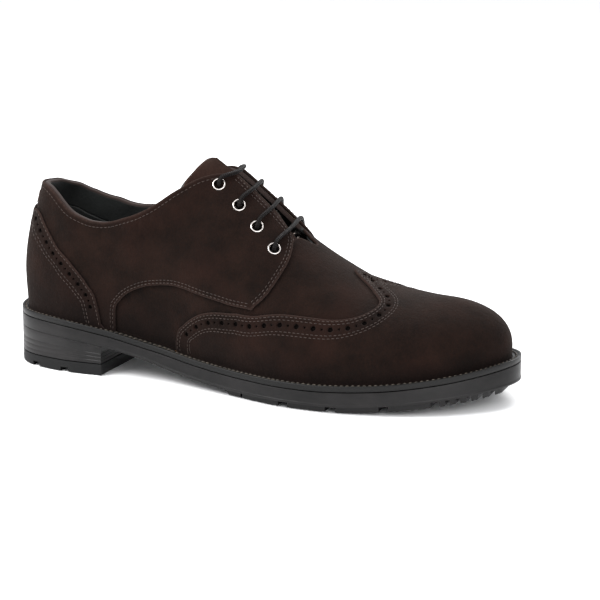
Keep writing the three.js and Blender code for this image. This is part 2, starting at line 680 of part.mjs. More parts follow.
const LUG_CHANNEL = 5;
const CHANNEL_RUN = [0.48, 0.9];
function lugs() {
  const depth = (x) => soleBottom(x) - LUG_DEPTH;
  const root = (x) => soleBottom(x) + LUG_ROOT;
  const sheet = prism(footline(WELT_MARGIN - LUG_INSET)).intersect(band(root, depth));
  const blocks = LUG_ROWS.map(([from, to]) => crossBar(alongX(from), alongX(to)));
  const tooth = (alongX(TEETH_TO) - alongX(TEETH_FROM)) / LUG_TEETH;
  for (let i = 0; i < LUG_TEETH; i += 1) {
    const from = alongX(TEETH_FROM) + i * tooth;
    blocks.push(crossBar(from, from + tooth * TOOTH_SHARE));
  }
  const rows = blocks.reduce((all, block) => all.add(block));
  const middle = crossBar(alongX(CHANNEL_RUN[0]), alongX(CHANNEL_RUN[1]), LUG_CHANNEL / 2);
  return sheet.intersect(rows).subtract(middle);
}

function outsole() {
  const body = prism(soleLine).intersect(band(below(outsoleTop), soleBottom));
  return body.add(lugs());
}

function heelPiece(top, bottom) {
  const front = crossBar(-LAST_WIDTH, HEEL_BREAST);
  return prism(soleLine).intersect(front).intersect(band(top, bottom, -HEEL_BREAST, 1.2 * HEEL_BREAST));
}

const HEEL_NOTCHES = [[0.03, 0.048], [0.105, 0.125]];
function topLift() {
  const lift = heelPiece(() => TOP_LIFT, () => 0);
  const notch = (from, to) => crossBar(from, to).intersect(band(() => HEEL_NOTCH, () => -HEEL_NOTCH));
  return HEEL_NOTCHES.reduce((left, [from, to]) => left.subtract(notch(alongX(from), alongX(to))), lift);
}

// ---------------------------------------------------------------- assembly

const suede = { color: 0x3a2a24, roughness: 0.92, metalness: 0 };
const liningLeather = { color: 0x1b1f1c, roughness: 0.45, metalness: 0 };
const rubber = { color: 0x2b2b2c, roughness: 0.55, metalness: 0 };
const fibre = { color: 0xb8a58a, roughness: 0.9, metalness: 0 };
const foam = { color: 0xd8cfae, roughness: 0.95, metalness: 0 };
const cork = { color: 0x9c7448, roughness: 0.95, metalness: 0 };
const steel = { color: 0xc9c7c2, roughness: 0.3, metalness: 1 };
const waxedCord = { color: 0x1c1613, roughness: 0.6, metalness: 0 };
const reddish = { color: 0x6b3a30, roughness: 0.8, metalness: 0 };

const shoe = new THREE.Group();
function addPiece(name, shape, look) {
  const geometry = shape.isBufferGeometry ? shape : geometryOf(shape);
  const mesh = new THREE.Mesh(geometry, new THREE.MeshStandardMaterial(look));
  mesh.name = name;
  shoe.add(mesh);
}

const TAB_HALF = 0.03;
const TAB_GAP = 0.006;
function heelTab() {
  const low = FOXING_TOP + TAB_GAP;
  const outline = [pattern(-TAB_HALF, low), pattern(-TAB_HALF, TOPLINE_BACK), pattern(0, TOPLINE_BACK),
    pattern(TAB_HALF, TOPLINE_BACK), pattern(TAB_HALF, low), pattern(0, low)];
  return panel(outline, foxingIn, foxingOut);
}

addPiece('outsole', outsole(), rubber);
addPiece('heel_block', heelPiece((x) => soleBottom(x) - CLEARANCE, () => TOP_LIFT + CLEARANCE), rubber);
addPiece('heel_top_lift', topLift(), rubber);
addPiece('welt', welt(), rubber);
addPiece('cork_filler', filler(), cork);
addPiece('shank', shank(), steel);
addPiece('insole_board', bottomLayer(footline(-INSOLE_GAP), insoleTop, insoleBottom), fibre);
addPiece('sock_liner', bottomLayer(footline(-SOCK_GAP), -SOCK, 0), liningLeather);
addPiece('heel_lining', panel(heelLiningOutline(), 0, liningOut), liningLeather);
addPiece('lateral_quarter_lining',
  drilled(panel(quarterLiningOutline(-1), 0, liningOut), 'outside'), liningLeather);
addPiece('medial_quarter_lining',
  drilled(panel(quarterLiningOutline(1), 0, liningOut), 'inside'), liningLeather);
addPiece('collar_lining', panel(collarOutline(0, COLLAR_BAND, 0.36), 0, liningOut), liningLeather);
addPiece('vamp_lining', panel(vampLiningOutline(), 0, liningOut), liningLeather);
addPiece('heel_counter', panel(heelOutline(COUNTER_EDGE, 0.2), middleIn, middleOut), fibre);
addPiece('collar_padding', panel(padOutline(), middleIn, middleOut), foam);
addPiece('toe_puff', panel(puffOutline(), middleIn, middleOut), fibre);
addPiece('lateral_facing_stay',
  drilled(panel(spots(STAY, -1), middleIn, middleOut), 'outside'), fibre);
addPiece('medial_facing_stay', drilled(panel(spots(STAY, 1), middleIn, middleOut), 'inside'), fibre);
addPiece('vamp', panel(vampOutline(), middleIn, middleOut), suede);
addPiece('wing_cap', panel(capOutline(), upperIn, upperOut), suede);
addPiece('lateral_quarter', drilled(panel(quarterOutline(-1), upperIn, upperOut), 'outside'), suede);
addPiece('medial_quarter', drilled(panel(quarterOutline(1), upperIn, upperOut), 'inside'), suede);
addPiece('heel_foxing', panel(heelOutline(FOXING_EDGE, FOXING_TOP), foxingIn, foxingOut), suede);
addPiece('heel_tab', heelTab(), reddish);
const tongueIn = -TONGUE_LEATHER;
const padOut = tongueIn - CLEARANCE;
const padIn = padOut - TONGUE_PAD;
const tongueLine = tongueOutline(0, TONGUE_BASE);
addPiece('tongue', tonguePanel(tongueLine, tongueIn, 0), suede);
addPiece('tongue_padding',
  tonguePanel(tongueOutline(TONGUE_PAD_INSET, TONGUE_PAD_BASE), padIn, padOut), foam);
addPiece('tongue_lining',
  tonguePanel(tongueLine, padIn - CLEARANCE - LINING, padIn - CLEARANCE), liningLeather);
EYELETS.forEach(([u, v], row) => {
  addPiece(`lateral_eyelet_${row + 1}`, eyelet(-u, v), steel);
  addPiece(`medial_eyelet_${row + 1}`, eyelet(u, v), steel);
});
addPiece('lace', laceGeometry(), waxedCord);

// The origin is on the ground, under the middle of the sole.
const soleBox = new THREE.Box2().setFromPoints(soleLine.map((p) => new THREE.Vector2(p.x, p.y)));
const middle = soleBox.getCenter(new THREE.Vector2());
shoe.position.set(-middle.x, -middle.y, 0);

export default shoe;
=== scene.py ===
# %% [markdown]
# # A brown suede golf shoe
#
# The CAD part already fixes every size and joint. Here each leather, sole layer and metal part
# gets the look of the real one. The shoe is made in the shoemaker's order: the last, flat
# patterns wrapped on it, seams, eyelets and lace, and then the bottom.

# %% Load the frame
import math
import bpy
import numpy as np
from mathutils import Matrix, Vector, geometry
from mathutils.kdtree import KDTree


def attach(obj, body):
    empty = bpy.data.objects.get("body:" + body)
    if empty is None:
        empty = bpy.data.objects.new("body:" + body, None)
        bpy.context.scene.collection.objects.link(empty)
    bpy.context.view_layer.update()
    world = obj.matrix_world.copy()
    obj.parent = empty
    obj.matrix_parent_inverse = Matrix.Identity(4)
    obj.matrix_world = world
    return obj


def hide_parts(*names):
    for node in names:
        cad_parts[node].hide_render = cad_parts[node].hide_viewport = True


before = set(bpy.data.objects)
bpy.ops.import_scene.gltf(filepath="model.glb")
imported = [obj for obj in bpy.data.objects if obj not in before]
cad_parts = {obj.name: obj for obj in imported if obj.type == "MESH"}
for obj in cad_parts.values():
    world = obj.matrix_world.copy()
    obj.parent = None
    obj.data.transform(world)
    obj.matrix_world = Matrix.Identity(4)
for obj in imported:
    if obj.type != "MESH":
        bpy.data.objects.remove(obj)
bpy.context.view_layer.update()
bpy.ops.object.select_all(action="DESELECT")

# %% [markdown]
# ## Sizes
#
# Shoemakers work in millimetres, and so does this file until a mesh is made. The frame's
# origin lies on the ground under the middle of the sole, which is where SHIFT moves a shoe
# whose heel starts near x = 0.

# %% Units and sizes
MM = 0.001
SHIFT = np.array([-152.75, 2.35, 0.0])
LAST_LENGTH, LAST_WIDTH, LAST_HEIGHT = 285.5, 89.5, 156.0
HEEL_SETBACK = 10.0
CROWN_BACK, CROWN_FRONT = 0.126, 0.858
GAP = 0.3
LINING = (0.0, 1.2)
MIDDLE = (1.5, 2.9)
UPPER = (3.2, 4.6)
FOXING = (4.9, 6.1)
WELT_MARGIN = 9.8
UNDER = -0.1


def along_x(share):
    return HEEL_SETBACK + share * LAST_LENGTH


def share_of(x):
    return (x - HEEL_SETBACK) / LAST_LENGTH


# %% [markdown]
# ## The last
#
# A last is the foot-shaped form that leather is pulled over. It could be sculpted, but lasts
# are drawn from a few curves: the feather edge, which is the outline of the bottom, the ridge
# line down the front, and how square the cross-section is. The same curves as in the CAD part
# are used, so that every leather lands where its CAD node lies.

# %% Curves
def through(points):
    """A smooth curve through the points that never swings past them."""
    xs, ys = np.array(points, float).T
    slope = np.diff(ys) / np.diff(xs)
    tangent = np.zeros(len(xs))
    tangent[0], tangent[-1] = slope[0], slope[-1]
    before, after = slope[:-1], slope[1:]
    same_way = before * after > 0
    total = np.where(same_way, before + after, 1.0)
    tangent[1:-1] = np.where(same_way, 2 * before * after / total, 0.0)

    def at(x):
        x = np.asarray(x, float)
        i = np.clip(np.searchsorted(xs, x) - 1, 0, len(xs) - 2)
        span, rise = xs[i + 1] - xs[i], ys[i + 1] - ys[i]
        t = np.clip((x - xs[i]) / span, 0, 1)
        a = tangent[i] * span - rise
        b = rise - tangent[i + 1] * span
        return ys[i] + rise * t + t * (1 - t) * (a * (1 - t) + b * t)
    return at


def spline(points, closed=False, samples=24):
    """A flowing line through plan points."""
    p = np.asarray(points, float)
    if closed:
        ring = np.concatenate([p[-1:], p, p[:2]])
    else:
        ring = np.concatenate([2 * p[:1] - p[1:2], p, 2 * p[-1:] - p[-2:-1]])
    s = (np.arange(samples) / samples)[:, None]
    out = []
    for p0, p1, p2, p3 in zip(ring, ring[1:], ring[2:], ring[3:]):
        d0, d1, d2 = (max(np.linalg.norm(b - a), 1e-9) ** 0.5
                      for a, b in ((p0, p1), (p1, p2), (p2, p3)))
        t1 = ((p1 - p0) / d0 - (p2 - p0) / (d0 + d1) + (p2 - p1) / d1) * d1
        t2 = ((p2 - p1) / d1 - (p3 - p1) / (d1 + d2) + (p3 - p2) / d2) * d1
        out.append(p1 + t1 * s + (3 * (p2 - p1) - 2 * t1 - t2) * s ** 2
                   + (2 * (p1 - p2) + t1 + t2) * s ** 3)
    if not closed:
        out.append(p[-1:])
    return np.concatenate(out)


TOE = [1, 0.056]
OUTSIDE = [[0, 0], [0.0245, -0.207], [0.105, -0.302], [0.228, -0.302], [0.35, -0.313],
           [0.49, -0.413], [0.63, -0.525], [0.7636, -0.503], [0.883, -0.374], [0.967, -0.156],
           TOE]
INSIDE = [[0, 0], [0.0245, 0.207], [0.105, 0.302], [0.182, 0.296], [0.28, 0.257],
          [0.42, 0.257], [0.567, 0.385], [0.7, 0.475], [0.82, 0.458], [0.918, 0.369],
          [0.977, 0.223], TOE]
feather_share = through([[-0.035, 35], [0.09, 33.3], [0.21, 29], [0.315, 23.4], [0.42, 18.8],
                         [0.525, 16.9], [0.665, 16.7], [0.79, 18.3], [0.91, 22.2],
                         [1.04, 28.5]])
ridge_share = through([[-0.035, 0.962], [0.123, 1], [0.245, 0.994], [0.333, 0.917],
                       [0.392, 0.83], [0.455, 0.75], [0.494, 0.692], [0.534, 0.628],
                       [0.581, 0.548], [0.63, 0.483], [0.669, 0.439], [0.7145, 0.393],
                       [0.76, 0.359], [0.806, 0.341], [0.858, 0.333], [0.911, 0.335],
                       [0.96, 0.333], [1.016, 0.321]])
sole_share = through([[-0.035, 22.5], [0.088, 21], [0.2, 17.5], [0.28, 13.5], [0.368, 7.5],
                      [0.455, 4.6], [0.525, 3.7], [0.718, 3.7], [0.806, 5.2], [0.911, 8.2],
                      [1.037, 12.7]])
squareness = through([[0, 2.2], [0.175, 2.1], [0.35, 1.85], [0.49, 1.8], [0.63, 1.95],
                      [0.753, 2.2], [0.858, 2.5], [1.016, 2.6]])
lean_outside = through([[0, 3.4], [0.14, 3.2], [0.3, 5.5], [0.42, 6], [0.595, 3.2],
                        [0.77, 2.2], [0.91, 1.5], [1.016, 1]])
lean_inside = through([[0, 3.4], [0.14, 3.2], [0.3, 7], [0.42, 8], [0.595, 4.5],
                       [0.77, 2.5], [0.91, 1.5], [1.016, 1]])


def feather_height(x):
    return feather_share(share_of(x))


def sole_bottom(x):
    return sole_share(share_of(x))


# %% [markdown]
# The feather edge is one closed line. A place on it is a number u that runs from 0 at the
# back of the heel to 1 at the toe on the inside of the foot, and to -1 on the outside. A place
# up the last is v, from 0 at the feather edge to 1 on the ridge.

# %% The feather edge and the skin of the last
ring_points = [[along_x(a), b * LAST_WIDTH] for a, b in OUTSIDE + INSIDE[1:-1][::-1]]
fine = spline(ring_points, closed=True, samples=330)
fine = np.concatenate([fine, fine[:1]])
arc = np.concatenate([[0], np.cumsum(np.linalg.norm(np.diff(fine, axis=0), axis=1))])
EDGE_SAMPLES = 720
spaced = np.linspace(0, arc[-1], EDGE_SAMPLES + 1)
feather = np.stack([np.interp(spaced, arc, fine[:, k]) for k in (0, 1)], axis=1)
toe_sample = int(np.argmax(feather[:, 0]))
print("feather edge", round(arc[-1], 1), "mm round")


def wrap(u):
    u = np.where(u > 1, u - 2, u)
    return np.where(u < -1, u + 2, u)


def feather_at(u):
    u = np.asarray(u, float)
    place = np.where(u < 0, -u * toe_sample, EDGE_SAMPLES - u * (EDGE_SAMPLES - toe_sample))
    steps = np.arange(EDGE_SAMPLES + 1)
    return np.stack([np.interp(place, steps, feather[:, k]) for k in (0, 1)], axis=-1)


def feather_normal(u):
    along = feather_at(wrap(u + 0.004)) - feather_at(wrap(u - 0.004))
    out = np.stack([-along[..., 1], along[..., 0]], axis=-1)
    return out / np.linalg.norm(out, axis=-1, keepdims=True)


def crown_for(base):
    x = along_x(CROWN_BACK + share_of(base[..., 0]) * (CROWN_FRONT - CROWN_BACK))
    return np.stack([x, np.zeros_like(x)], axis=-1)


SKIRT = 28.0
LEAN_PEAK = 1.54
HEEL_LEAN = 8.4


def last_point(u, v):
    u, v = np.broadcast_arrays(np.asarray(u, float), np.asarray(v, float))
    base = feather_at(u)
    low = feather_height(base[..., 0])
    share = share_of(base[..., 0])
    angle = np.clip(v, 0, 1) * math.pi / 2
    power = 2 / squareness(share)
    across = 1 - np.maximum(np.cos(angle), 0) ** power
    rise = np.sin(angle) ** power
    lean = np.where(u < 0, lean_outside(share), lean_inside(share)) * LEAN_PEAK
    lean = lean * np.sin(2 * angle) * np.cos(angle) ** 2
    plan = base + (crown_for(base) - base) * across[..., None]
    plan = plan + feather_normal(u) * lean[..., None]
    top = ridge_share(share_of(plan[..., 0])) * LAST_HEIGHT
    height = np.where(v > 0, low + (top - low) * rise, low + v * SKIRT)
    climb = np.clip((height - 50) / 60, 0, 1)
    forward = HEEL_LEAN * climb * climb * (3 - 2 * climb)
    plan[..., 0] += forward * np.clip(1 - plan[..., 0] / 60, 0, 1)
    return np.concatenate([plan, height[..., None]], axis=-1)


# %% [markdown]
# A pattern cutter flattens the last with tape and draws the pieces on it. The flat pattern
# here is the plan of the last with the walls laid out evenly, so one flat drawing covers heel,
# ridge and toe. The functions go from the flat pattern to the last and back, and give the two
# directions in which the leather stretches at each spot.

# %% The flat pattern
def pattern(u, v):
    base = feather_at(u)
    v = np.asarray(v, float)[..., None]
    return base * (1 - v) + crown_for(base) * v


toe_tip = feather_at(1.0)
toe_crown = crown_for(toe_tip)


def unpattern(flat):
    flat = np.asarray(flat, float)
    share = np.clip((flat[..., 0] - toe_crown[0]) / (toe_tip[0] - toe_crown[0]), 0, 1)
    side = np.where(flat[..., 1] < toe_tip[1] * share, -1.0, 1.0)
    low, high = np.zeros(side.shape), np.ones(side.shape)
    for _ in range(30):
        middle = (low + high) / 2
        base = feather_at(side * middle)
        ray, spot = crown_for(base) - base, flat - base
        turn = (ray[..., 0] * spot[..., 1] - ray[..., 1] * spot[..., 0]) * side
        low, high = np.where(turn > 0, middle, low), np.where(turn > 0, high, middle)
    base = feather_at(side * low)
    ray, spot = crown_for(base) - base, flat - base
    return side * low, (spot * ray).sum(-1) / (ray * ray).sum(-1)


def skin(flat):
    u, v = unpattern(flat)
    return last_point(u, np.minimum(v, 1))


def unit(a):
    return a / np.maximum(np.linalg.norm(a, axis=-1, keepdims=True), 1e-9)


def stretch(flat, step=0.25):
    """How the last moves as the flat pattern moves along x and along y."""
    flat = np.asarray(flat, float)
    dx, dy = np.array([step, 0]), np.array([0, step])
    return ((skin(flat + dx) - skin(flat - dx)) / (2 * step),
            (skin(flat + dy) - skin(flat - dy)) / (2 * step))


def skin_normal(flat):
    a, b = stretch(flat)
    return unit(np.cross(a, b))


def flat_move(flat, move):
    """The step on the flat pattern that is this true move on the last."""
    a, b = stretch(flat)
    aa, ab, bb = (a * a).sum(-1), (a * b).sum(-1), (b * b).sum(-1)
    pa, pb = (a * move).sum(-1), (b * move).sum(-1)
    det = aa * bb - ab * ab
    return np.stack([(bb * pa - ab * pb) / det, (aa * pb - ab * pa) / det], axis=-1)


def aside(line, distance, closed=False):
    """The line moved to its left by a true distance on the last."""
    if closed:
        ahead = np.roll(line, -1, axis=0) - np.roll(line, 1, axis=0)
    else:
        ahead = np.gradient(line, axis=0)
    a, b = stretch(line)
    along = unit(ahead[:, :1] * a + ahead[:, 1:] * b)
    left = np.cross(unit(np.cross(a, b)), along)
    return line + flat_move(line, left * distance)


def even(line, pitch, closed=False):
    """The line with a point at every true pitch along the last."""
    if closed:
        line = np.concatenate([line, line[:1]])
    keep = np.concatenate([[True], np.linalg.norm(np.diff(line, axis=0), axis=1) > 1e-6])
    line = line[keep]
    run = np.linalg.norm(np.diff(skin(line), axis=0), axis=1)
    length = np.concatenate([[0], np.cumsum(run)])
    count = max(2, int(round(length[-1] / pitch)))
    places = np.linspace(0, length[-1], count + 1)
    out = np.stack([np.interp(places, length, line[:, k]) for k in (0, 1)], axis=1)
    return out[:-1] if closed else out


print("ridge at the tongue", skin(np.array([[130.0, 0.0]])).round(1))

# %% [markdown]
# ## Finishes
#
# Every finish is a small sum of noises in the object's own space, so that it needs no unwrapping
# and keeps its true scale: the mottling of suede is about a centimetre across, its nap a
# fraction of a millimetre. A socket is wrapped in a class, so that sums read as sums.

# %% A finish and its wires
class Wire:
    """A socket that can be added, multiplied and so on."""

    def __init__(self, finish, socket):
        self.finish, self.socket = finish, socket

    def _sum(self, operation, first, second):
        return self.finish.node("ShaderNodeMath", {"operation": operation}, {0: first, 1: second})

    def __add__(self, other):
        return self._sum("ADD", self, other)

    def __radd__(self, other):
        return self._sum("ADD", other, self)

    def __sub__(self, other):
        return self._sum("SUBTRACT", self, other)

    def __rsub__(self, other):
        return self._sum("SUBTRACT", other, self)

    def __mul__(self, other):
        return self._sum("MULTIPLY", self, other)

    def __rmul__(self, other):
        return self._sum("MULTIPLY", other, self)

    def __pow__(self, other):
        return self._sum("POWER", self, other)


class Finish:
    """A material that starts as one Principled shader."""

    def __init__(self, name, **constants):
        self.material = bpy.data.materials.new(name)
        self.material.use_nodes = True
        self.tree = self.material.node_tree
        self.shader = self.tree.nodes["Principled BSDF"]
        for key, value in constants.items():
            self.shader.inputs[key.replace("_", " ")].default_value = value
        self.place = self.node("ShaderNodeTexCoord", {}, {}, "Object")

    def node(self, kind, settings, inputs, output=0):
        made = self.tree.nodes.new(kind)
        for key, value in settings.items():
            if key == "stops":
                for stop, (position, colour) in zip(made.color_ramp.elements, value):
                    stop.position, stop.color = position, colour
            else:
                setattr(made, key, value)
        for key, value in inputs.items():
            if isinstance(value, Wire):
                self.tree.links.new(value.socket, made.inputs[key])
            else:
                made.inputs[key].default_value = value
        return Wire(self, made.outputs[output])

    def noise(self, per_metre, detail=2.0, roughness=0.5, squash=(1, 1, 1)):
        where = self.node("ShaderNodeMapping", {}, {"Vector": self.place, "Scale": squash})
        return self.node("ShaderNodeTexNoise", {}, {"Vector": where, "Scale": per_metre,
                                                     "Detail": detail, "Roughness": roughness})

    def range(self, value, low, high, to_low=0.0, to_high=1.0):
        return self.node("ShaderNodeMapRange", {}, {"Value": value, "From Min": low,
                                                     "From Max": high, "To Min": to_low,
                                                     "To Max": to_high})

    def mix(self, factor, first, second):
        return self.node("ShaderNodeMix", {"data_type": "RGBA"},
                         {0: factor, 6: first, 7: second}, 2)

    def attribute(self, name):
        return self.node("ShaderNodeAttribute", {"attribute_name": name}, {}, "Fac")

    def colour(self, wire):
        self.tree.links.new(wire.socket, self.shader.inputs["Base Color"])

    def rough(self, wire):
        self.tree.links.new(wire.socket, self.shader.inputs["Roughness"])

    def bump(self, height, depth):
        made = self.node("ShaderNodeBump", {}, {"Strength": 1.0, "Distance": depth,
                                                "Height": height})
        self.tree.links.new(made.socket, self.shader.inputs["Normal"])


def rgb(r, g, b):
    """A colour given as 0-255 screen values, as the shader wants it."""
    return tuple((c / 255 / 12.92) if c < 10 else ((c / 255 + 0.055) / 1.055) ** 2.4
                 for c in (r, g, b)) + (1.0,)


# %% [markdown]
# Suede is leather with its fibres raised. It has no gloss, but the fibre tips catch the light
# at a shallow angle, which is what the sheen of the shader is for. The nap lies in patches,
# lighter one way and darker the other. Folded and cut edges are painted lighter as a
# highlight, the leather just above the welt is painted darker as shade, and where another
# leather lies on it, and on its inner face, it is painted dark as shade.

# %% Suede
def suede(name, dark, light, highlight_colour, sheen=0.16):
    f = Finish(name, Sheen_Weight=sheen, Sheen_Roughness=0.45,
               Sheen_Tint=(0.75, 0.64, 0.58, 1), Specular_IOR_Level=0.05)
    patches = f.noise(55, 3, 0.55)
    fibres = f.noise(900, 4, 0.6, (1, 1, 0.6))
    nap = f.noise(3800, 2, 0.6)
    tone = f.range(patches * 0.6 + fibres * 0.4, 0.36, 0.66)
    base = f.mix(tone, rgb(*dark), rgb(*light))
    warm = f.range(f.noise(28, 2), 0.5, 0.7, 0.0, 0.3)
    base = f.mix(warm, base, rgb(light[0] * 1.05, light[1] * 0.84, light[2] * 0.8))
    # Painted highlight: cut edges are lighter, broken up by the fibres.
    edge_highlight = f.attribute("edge") * f.range(fibres, 0.3, 0.6, 0.35, 0.9)
    base = f.mix(edge_highlight, base, rgb(*highlight_colour))
    # Painted shade: the suede is darker low on the last, towards the welt.
    low = f.range(f.attribute("rise"), 0.0, 0.14, 0.55, 0.0)
    base = f.mix(low, base, rgb(11, 9, 9))
    # Painted shade: dark where another leather lies on the suede, and on its inner face.
    painted_shade_zone = f.attribute("painted_shade")
    base = f.mix(painted_shade_zone, base, rgb(10, 7, 6))
    f.colour(base)
    f.rough(f.range(fibres, 0.3, 0.7, 0.82, 0.98))
    f.bump(nap * 0.5 + fibres * 0.9 + f.noise(330, 2) * 0.8, 0.00035)
    return f.material


suede_dark = suede("chocolate_suede", (15, 9, 7), (30, 19, 15), (50, 38, 34), 0.05)
suede_tongue = suede("tongue_suede", (28, 18, 15), (46, 33, 28), (60, 46, 41), 0.1)
suede_red = suede("raw_tab_leather", (40, 22, 18), (62, 38, 32), (74, 52, 44), 0.1)

# %% [markdown]
# Lining leather is smooth and waxed, nearly black, with fine pores. Reinforcements such as the
# heel counter are pressed fibre, and padding is open foam: all hidden inside the shoe, but
# each still looks like itself when the layers are taken apart.

# %% Lining leather, sock, fibre board, foam, cork and steel
def leather(name, dark, light, roughness):
    f = Finish(name, Specular_IOR_Level=0.45)
    pores = f.node("ShaderNodeTexVoronoi", {}, {"Vector": f.place, "Scale": 1500.0}, "Distance")
    broad = f.noise(40, 3)
    # Painted highlight: a lighter brown band along the fold, which is also rougher.
    fold_highlight = f.range(f.attribute("fold"), 0.35, 0.6)
    base = f.mix(f.range(broad, 0.35, 0.65), rgb(*dark), rgb(*light))
    f.colour(f.mix(fold_highlight, base, rgb(40, 28, 24)))
    waxed = f.range(broad + pores * 0.3, 0.3, 0.9, roughness - 0.08, roughness + 0.12)
    f.rough(waxed + fold_highlight * 0.5)
    f.bump(pores * 0.6 + f.noise(600, 3) * 0.8, 0.00012)
    return f.material


def board(name, dark, light, grains, depth):
    f = Finish(name, Roughness=0.95, Specular_IOR_Level=0.2)
    grain = f.noise(grains, 5, 0.65)
    f.colour(f.mix(f.range(grain, 0.35, 0.65), rgb(*dark), rgb(*light)))
    f.bump(grain, depth)
    return f.material


lining_finish = leather("waxed_lining", (11, 12, 12), (23, 25, 24), 0.42)
sock_finish = leather("sock_leather", (24, 20, 18), (40, 34, 30), 0.5)
fibre_finish = board("pressed_fibre", (150, 128, 100), (196, 176, 146), 700, 0.0002)
puff_finish = board("puff_board", (22, 15, 12), (34, 25, 20), 700, 0.0002)
foam_finish = board("open_foam", (196, 184, 148), (232, 224, 196), 1600, 0.0004)
cork_finish = board("granulated_cork", (112, 74, 42), (186, 140, 92), 420, 0.0004)
steel = Finish("spring_steel", Metallic=1.0)
steel.colour(steel.mix(steel.noise(90, 3), rgb(150, 150, 152), rgb(196, 196, 198)))
steel.rough(steel.range(steel.noise(700, 3, 0.6, (0.1, 1, 1)), 0.3, 0.7, 0.22, 0.42))
steel_finish = steel.material

# %% [markdown]
# The sole is moulded rubber. Its wall is satin with a faint bloom and small scuffs, the heel's
# top lift on the ground is duller. The thread is a waxed grey-brown twist. The eyelets are
# nickel-plated brass.

# %% Rubber, thread and nickel
def rubber(name, dark, light, roughness):
    f = Finish(name, Specular_IOR_Level=0.24)
    bloom = f.noise(34, 4, 0.6)
    scuffs = f.noise(420, 3, 0.6, (0.35, 0.35, 1))
    f.colour(f.mix(f.range(bloom * 0.7 + scuffs * 0.3, 0.38, 0.64), rgb(*dark), rgb(*light)))
    f.rough(f.range(bloom * 0.6 + scuffs * 0.4, 0.3, 0.7, roughness - 0.08, roughness + 0.1))
    f.bump(scuffs * 0.5 + f.noise(2400, 2) * 0.5, 0.00006)
    return f.material


wall_rubber = rubber("satin_rubber", (12, 11, 11), (25, 23, 23), 0.4)
# Painted light: the heel rubber is lighter, as the side that the light from the left falls on.
lit_heel_rubber = rubber("lit_stacked_rubber", (16, 15, 15), (30, 28, 28), 0.4)
# Painted shade: the ground rubber is darker, for faces turned to the ground.
shaded_ground_rubber = rubber("shaded_ground_rubber", (8, 8, 9), (17, 17, 17), 0.62)
# Painted shade: the welt rubber is darker, for the shade under the upper.
welt_rubber = rubber("welt_rubber", (6, 6, 6), (15, 14, 13), 0.42)

def thread_of(name, dark, light, twist, fibre, gloss, roughness):
    f = Finish(name, Specular_IOR_Level=gloss)
    f.colour(f.mix(f.range(f.noise(twist, 2), 0.35, 0.65), rgb(*dark), rgb(*light)))
    f.rough(f.range(f.noise(fibre, 2), 0.3, 0.7, *roughness))
    return f.material


thread_finish = thread_of("waxed_thread", (32, 25, 22), (64, 52, 46), 1300, 2600, 0.35,
                          (0.5, 0.7))

nickel = Finish("nickel_plate", Metallic=1.0)
nickel.colour(nickel.mix(nickel.noise(260, 3), rgb(206, 198, 192), rgb(236, 230, 226)))
nickel.rough(nickel.range(nickel.noise(1500, 3), 0.3, 0.7, 0.16, 0.3))
nickel_finish = nickel.material
print("finishes", len(bpy.data.materials))

# %% [markdown]
# ## Cutting and lasting a leather
#
# A leather is drawn flat, punched, and then pulled over the last. The outline and the holes
# become a net of triangles by constrained triangulation, because an outline with dozens of
# punched holes leaves no quads to extrude. The net is then laid on the last twice, for the
# outer and the inner face, with rounded cut edges between. Three marks are kept for the
# finish: how near a spot is to a cut edge, for a painted highlight; how high it is up the
# last, for painted shade low down; and whether another leather lies on it, for painted shade
# there and on the inner face away from its edges.

# %% From outline to leather
BODY = "shoe"


def finished(name, verts, faces, finish, body=BODY, nodes=(), smooth=55):
    """A mesh piece in its place, which rides its body and stands for its CAD nodes."""
    mesh = bpy.data.meshes.new(name)
    mesh.from_pydata(((np.asarray(verts) + SHIFT) * MM).tolist(), [], faces)
    piece = bpy.data.objects.new(name, mesh)
    bpy.context.collection.objects.link(piece)
    mesh.materials.append(finish)
    bpy.ops.object.select_all(action="DESELECT")
    piece.select_set(True)
    bpy.context.view_layer.objects.active = piece
    bpy.ops.object.shade_smooth_by_angle(angle=math.radians(smooth))
    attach(piece, body)
    if nodes:
        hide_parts(*nodes)
    return piece


def mark(piece, name, values):
    """A number kept at every vertex for the finish to read."""
    layer = piece.data.attributes.new(name, "FLOAT", "POINT")
    layer.data.foreach_set("value", np.asarray(values, np.float32))


def inside(points, outline):
    """Which points lie inside a closed flat outline."""
    x, y = points[:, 0], points[:, 1]
    hit = np.zeros(len(points), bool)
    for (ax, ay), (bx, by) in zip(outline, np.roll(outline, -1, axis=0)):
        if ay == by:
            continue
        cross = (ay > y) != (by > y)
        hit ^= cross & (x < (bx - ax) * (y - ay) / (by - ay) + ax)
    return hit


def nearest(points, targets):
    """Distance from each point to the nearest target, both in space."""
    tree = KDTree(len(targets))
    for i, t in enumerate(targets):
        tree.insert(t, i)
    tree.balance()
    return np.array([tree.find(p)[2] for p in points])


def hole_ring(centre, radius, count):
    """A round hole on the last, as a flat outline."""
    angle = np.arange(count) * 2 * math.pi / count
    a, b = stretch(centre[None])
    e1 = unit(a)[0]
    e2 = np.cross(unit(np.cross(a, b))[0], e1)
    move = radius * (np.cos(angle)[:, None] * e1 + np.sin(angle)[:, None] * e2)
    return centre + flat_move(np.repeat(centre[None], count, axis=0), move)


EDGE_RINGS = (0.25, 0.7, 1.5)


def facing_up(flat, tris, up=True):
    """The triangles, turned so that they all face up, or all down."""
    a, b, c = (flat[tris[:, k]] for k in range(3))
    area = (b[:, 0] - a[:, 0]) * (c[:, 1] - a[:, 1]) - (b[:, 1] - a[:, 1]) * (c[:, 0] - a[:, 0])
    wrong = (area < 0) if up else (area > 0)
    tris[wrong] = tris[wrong][:, ::-1]
    return tris


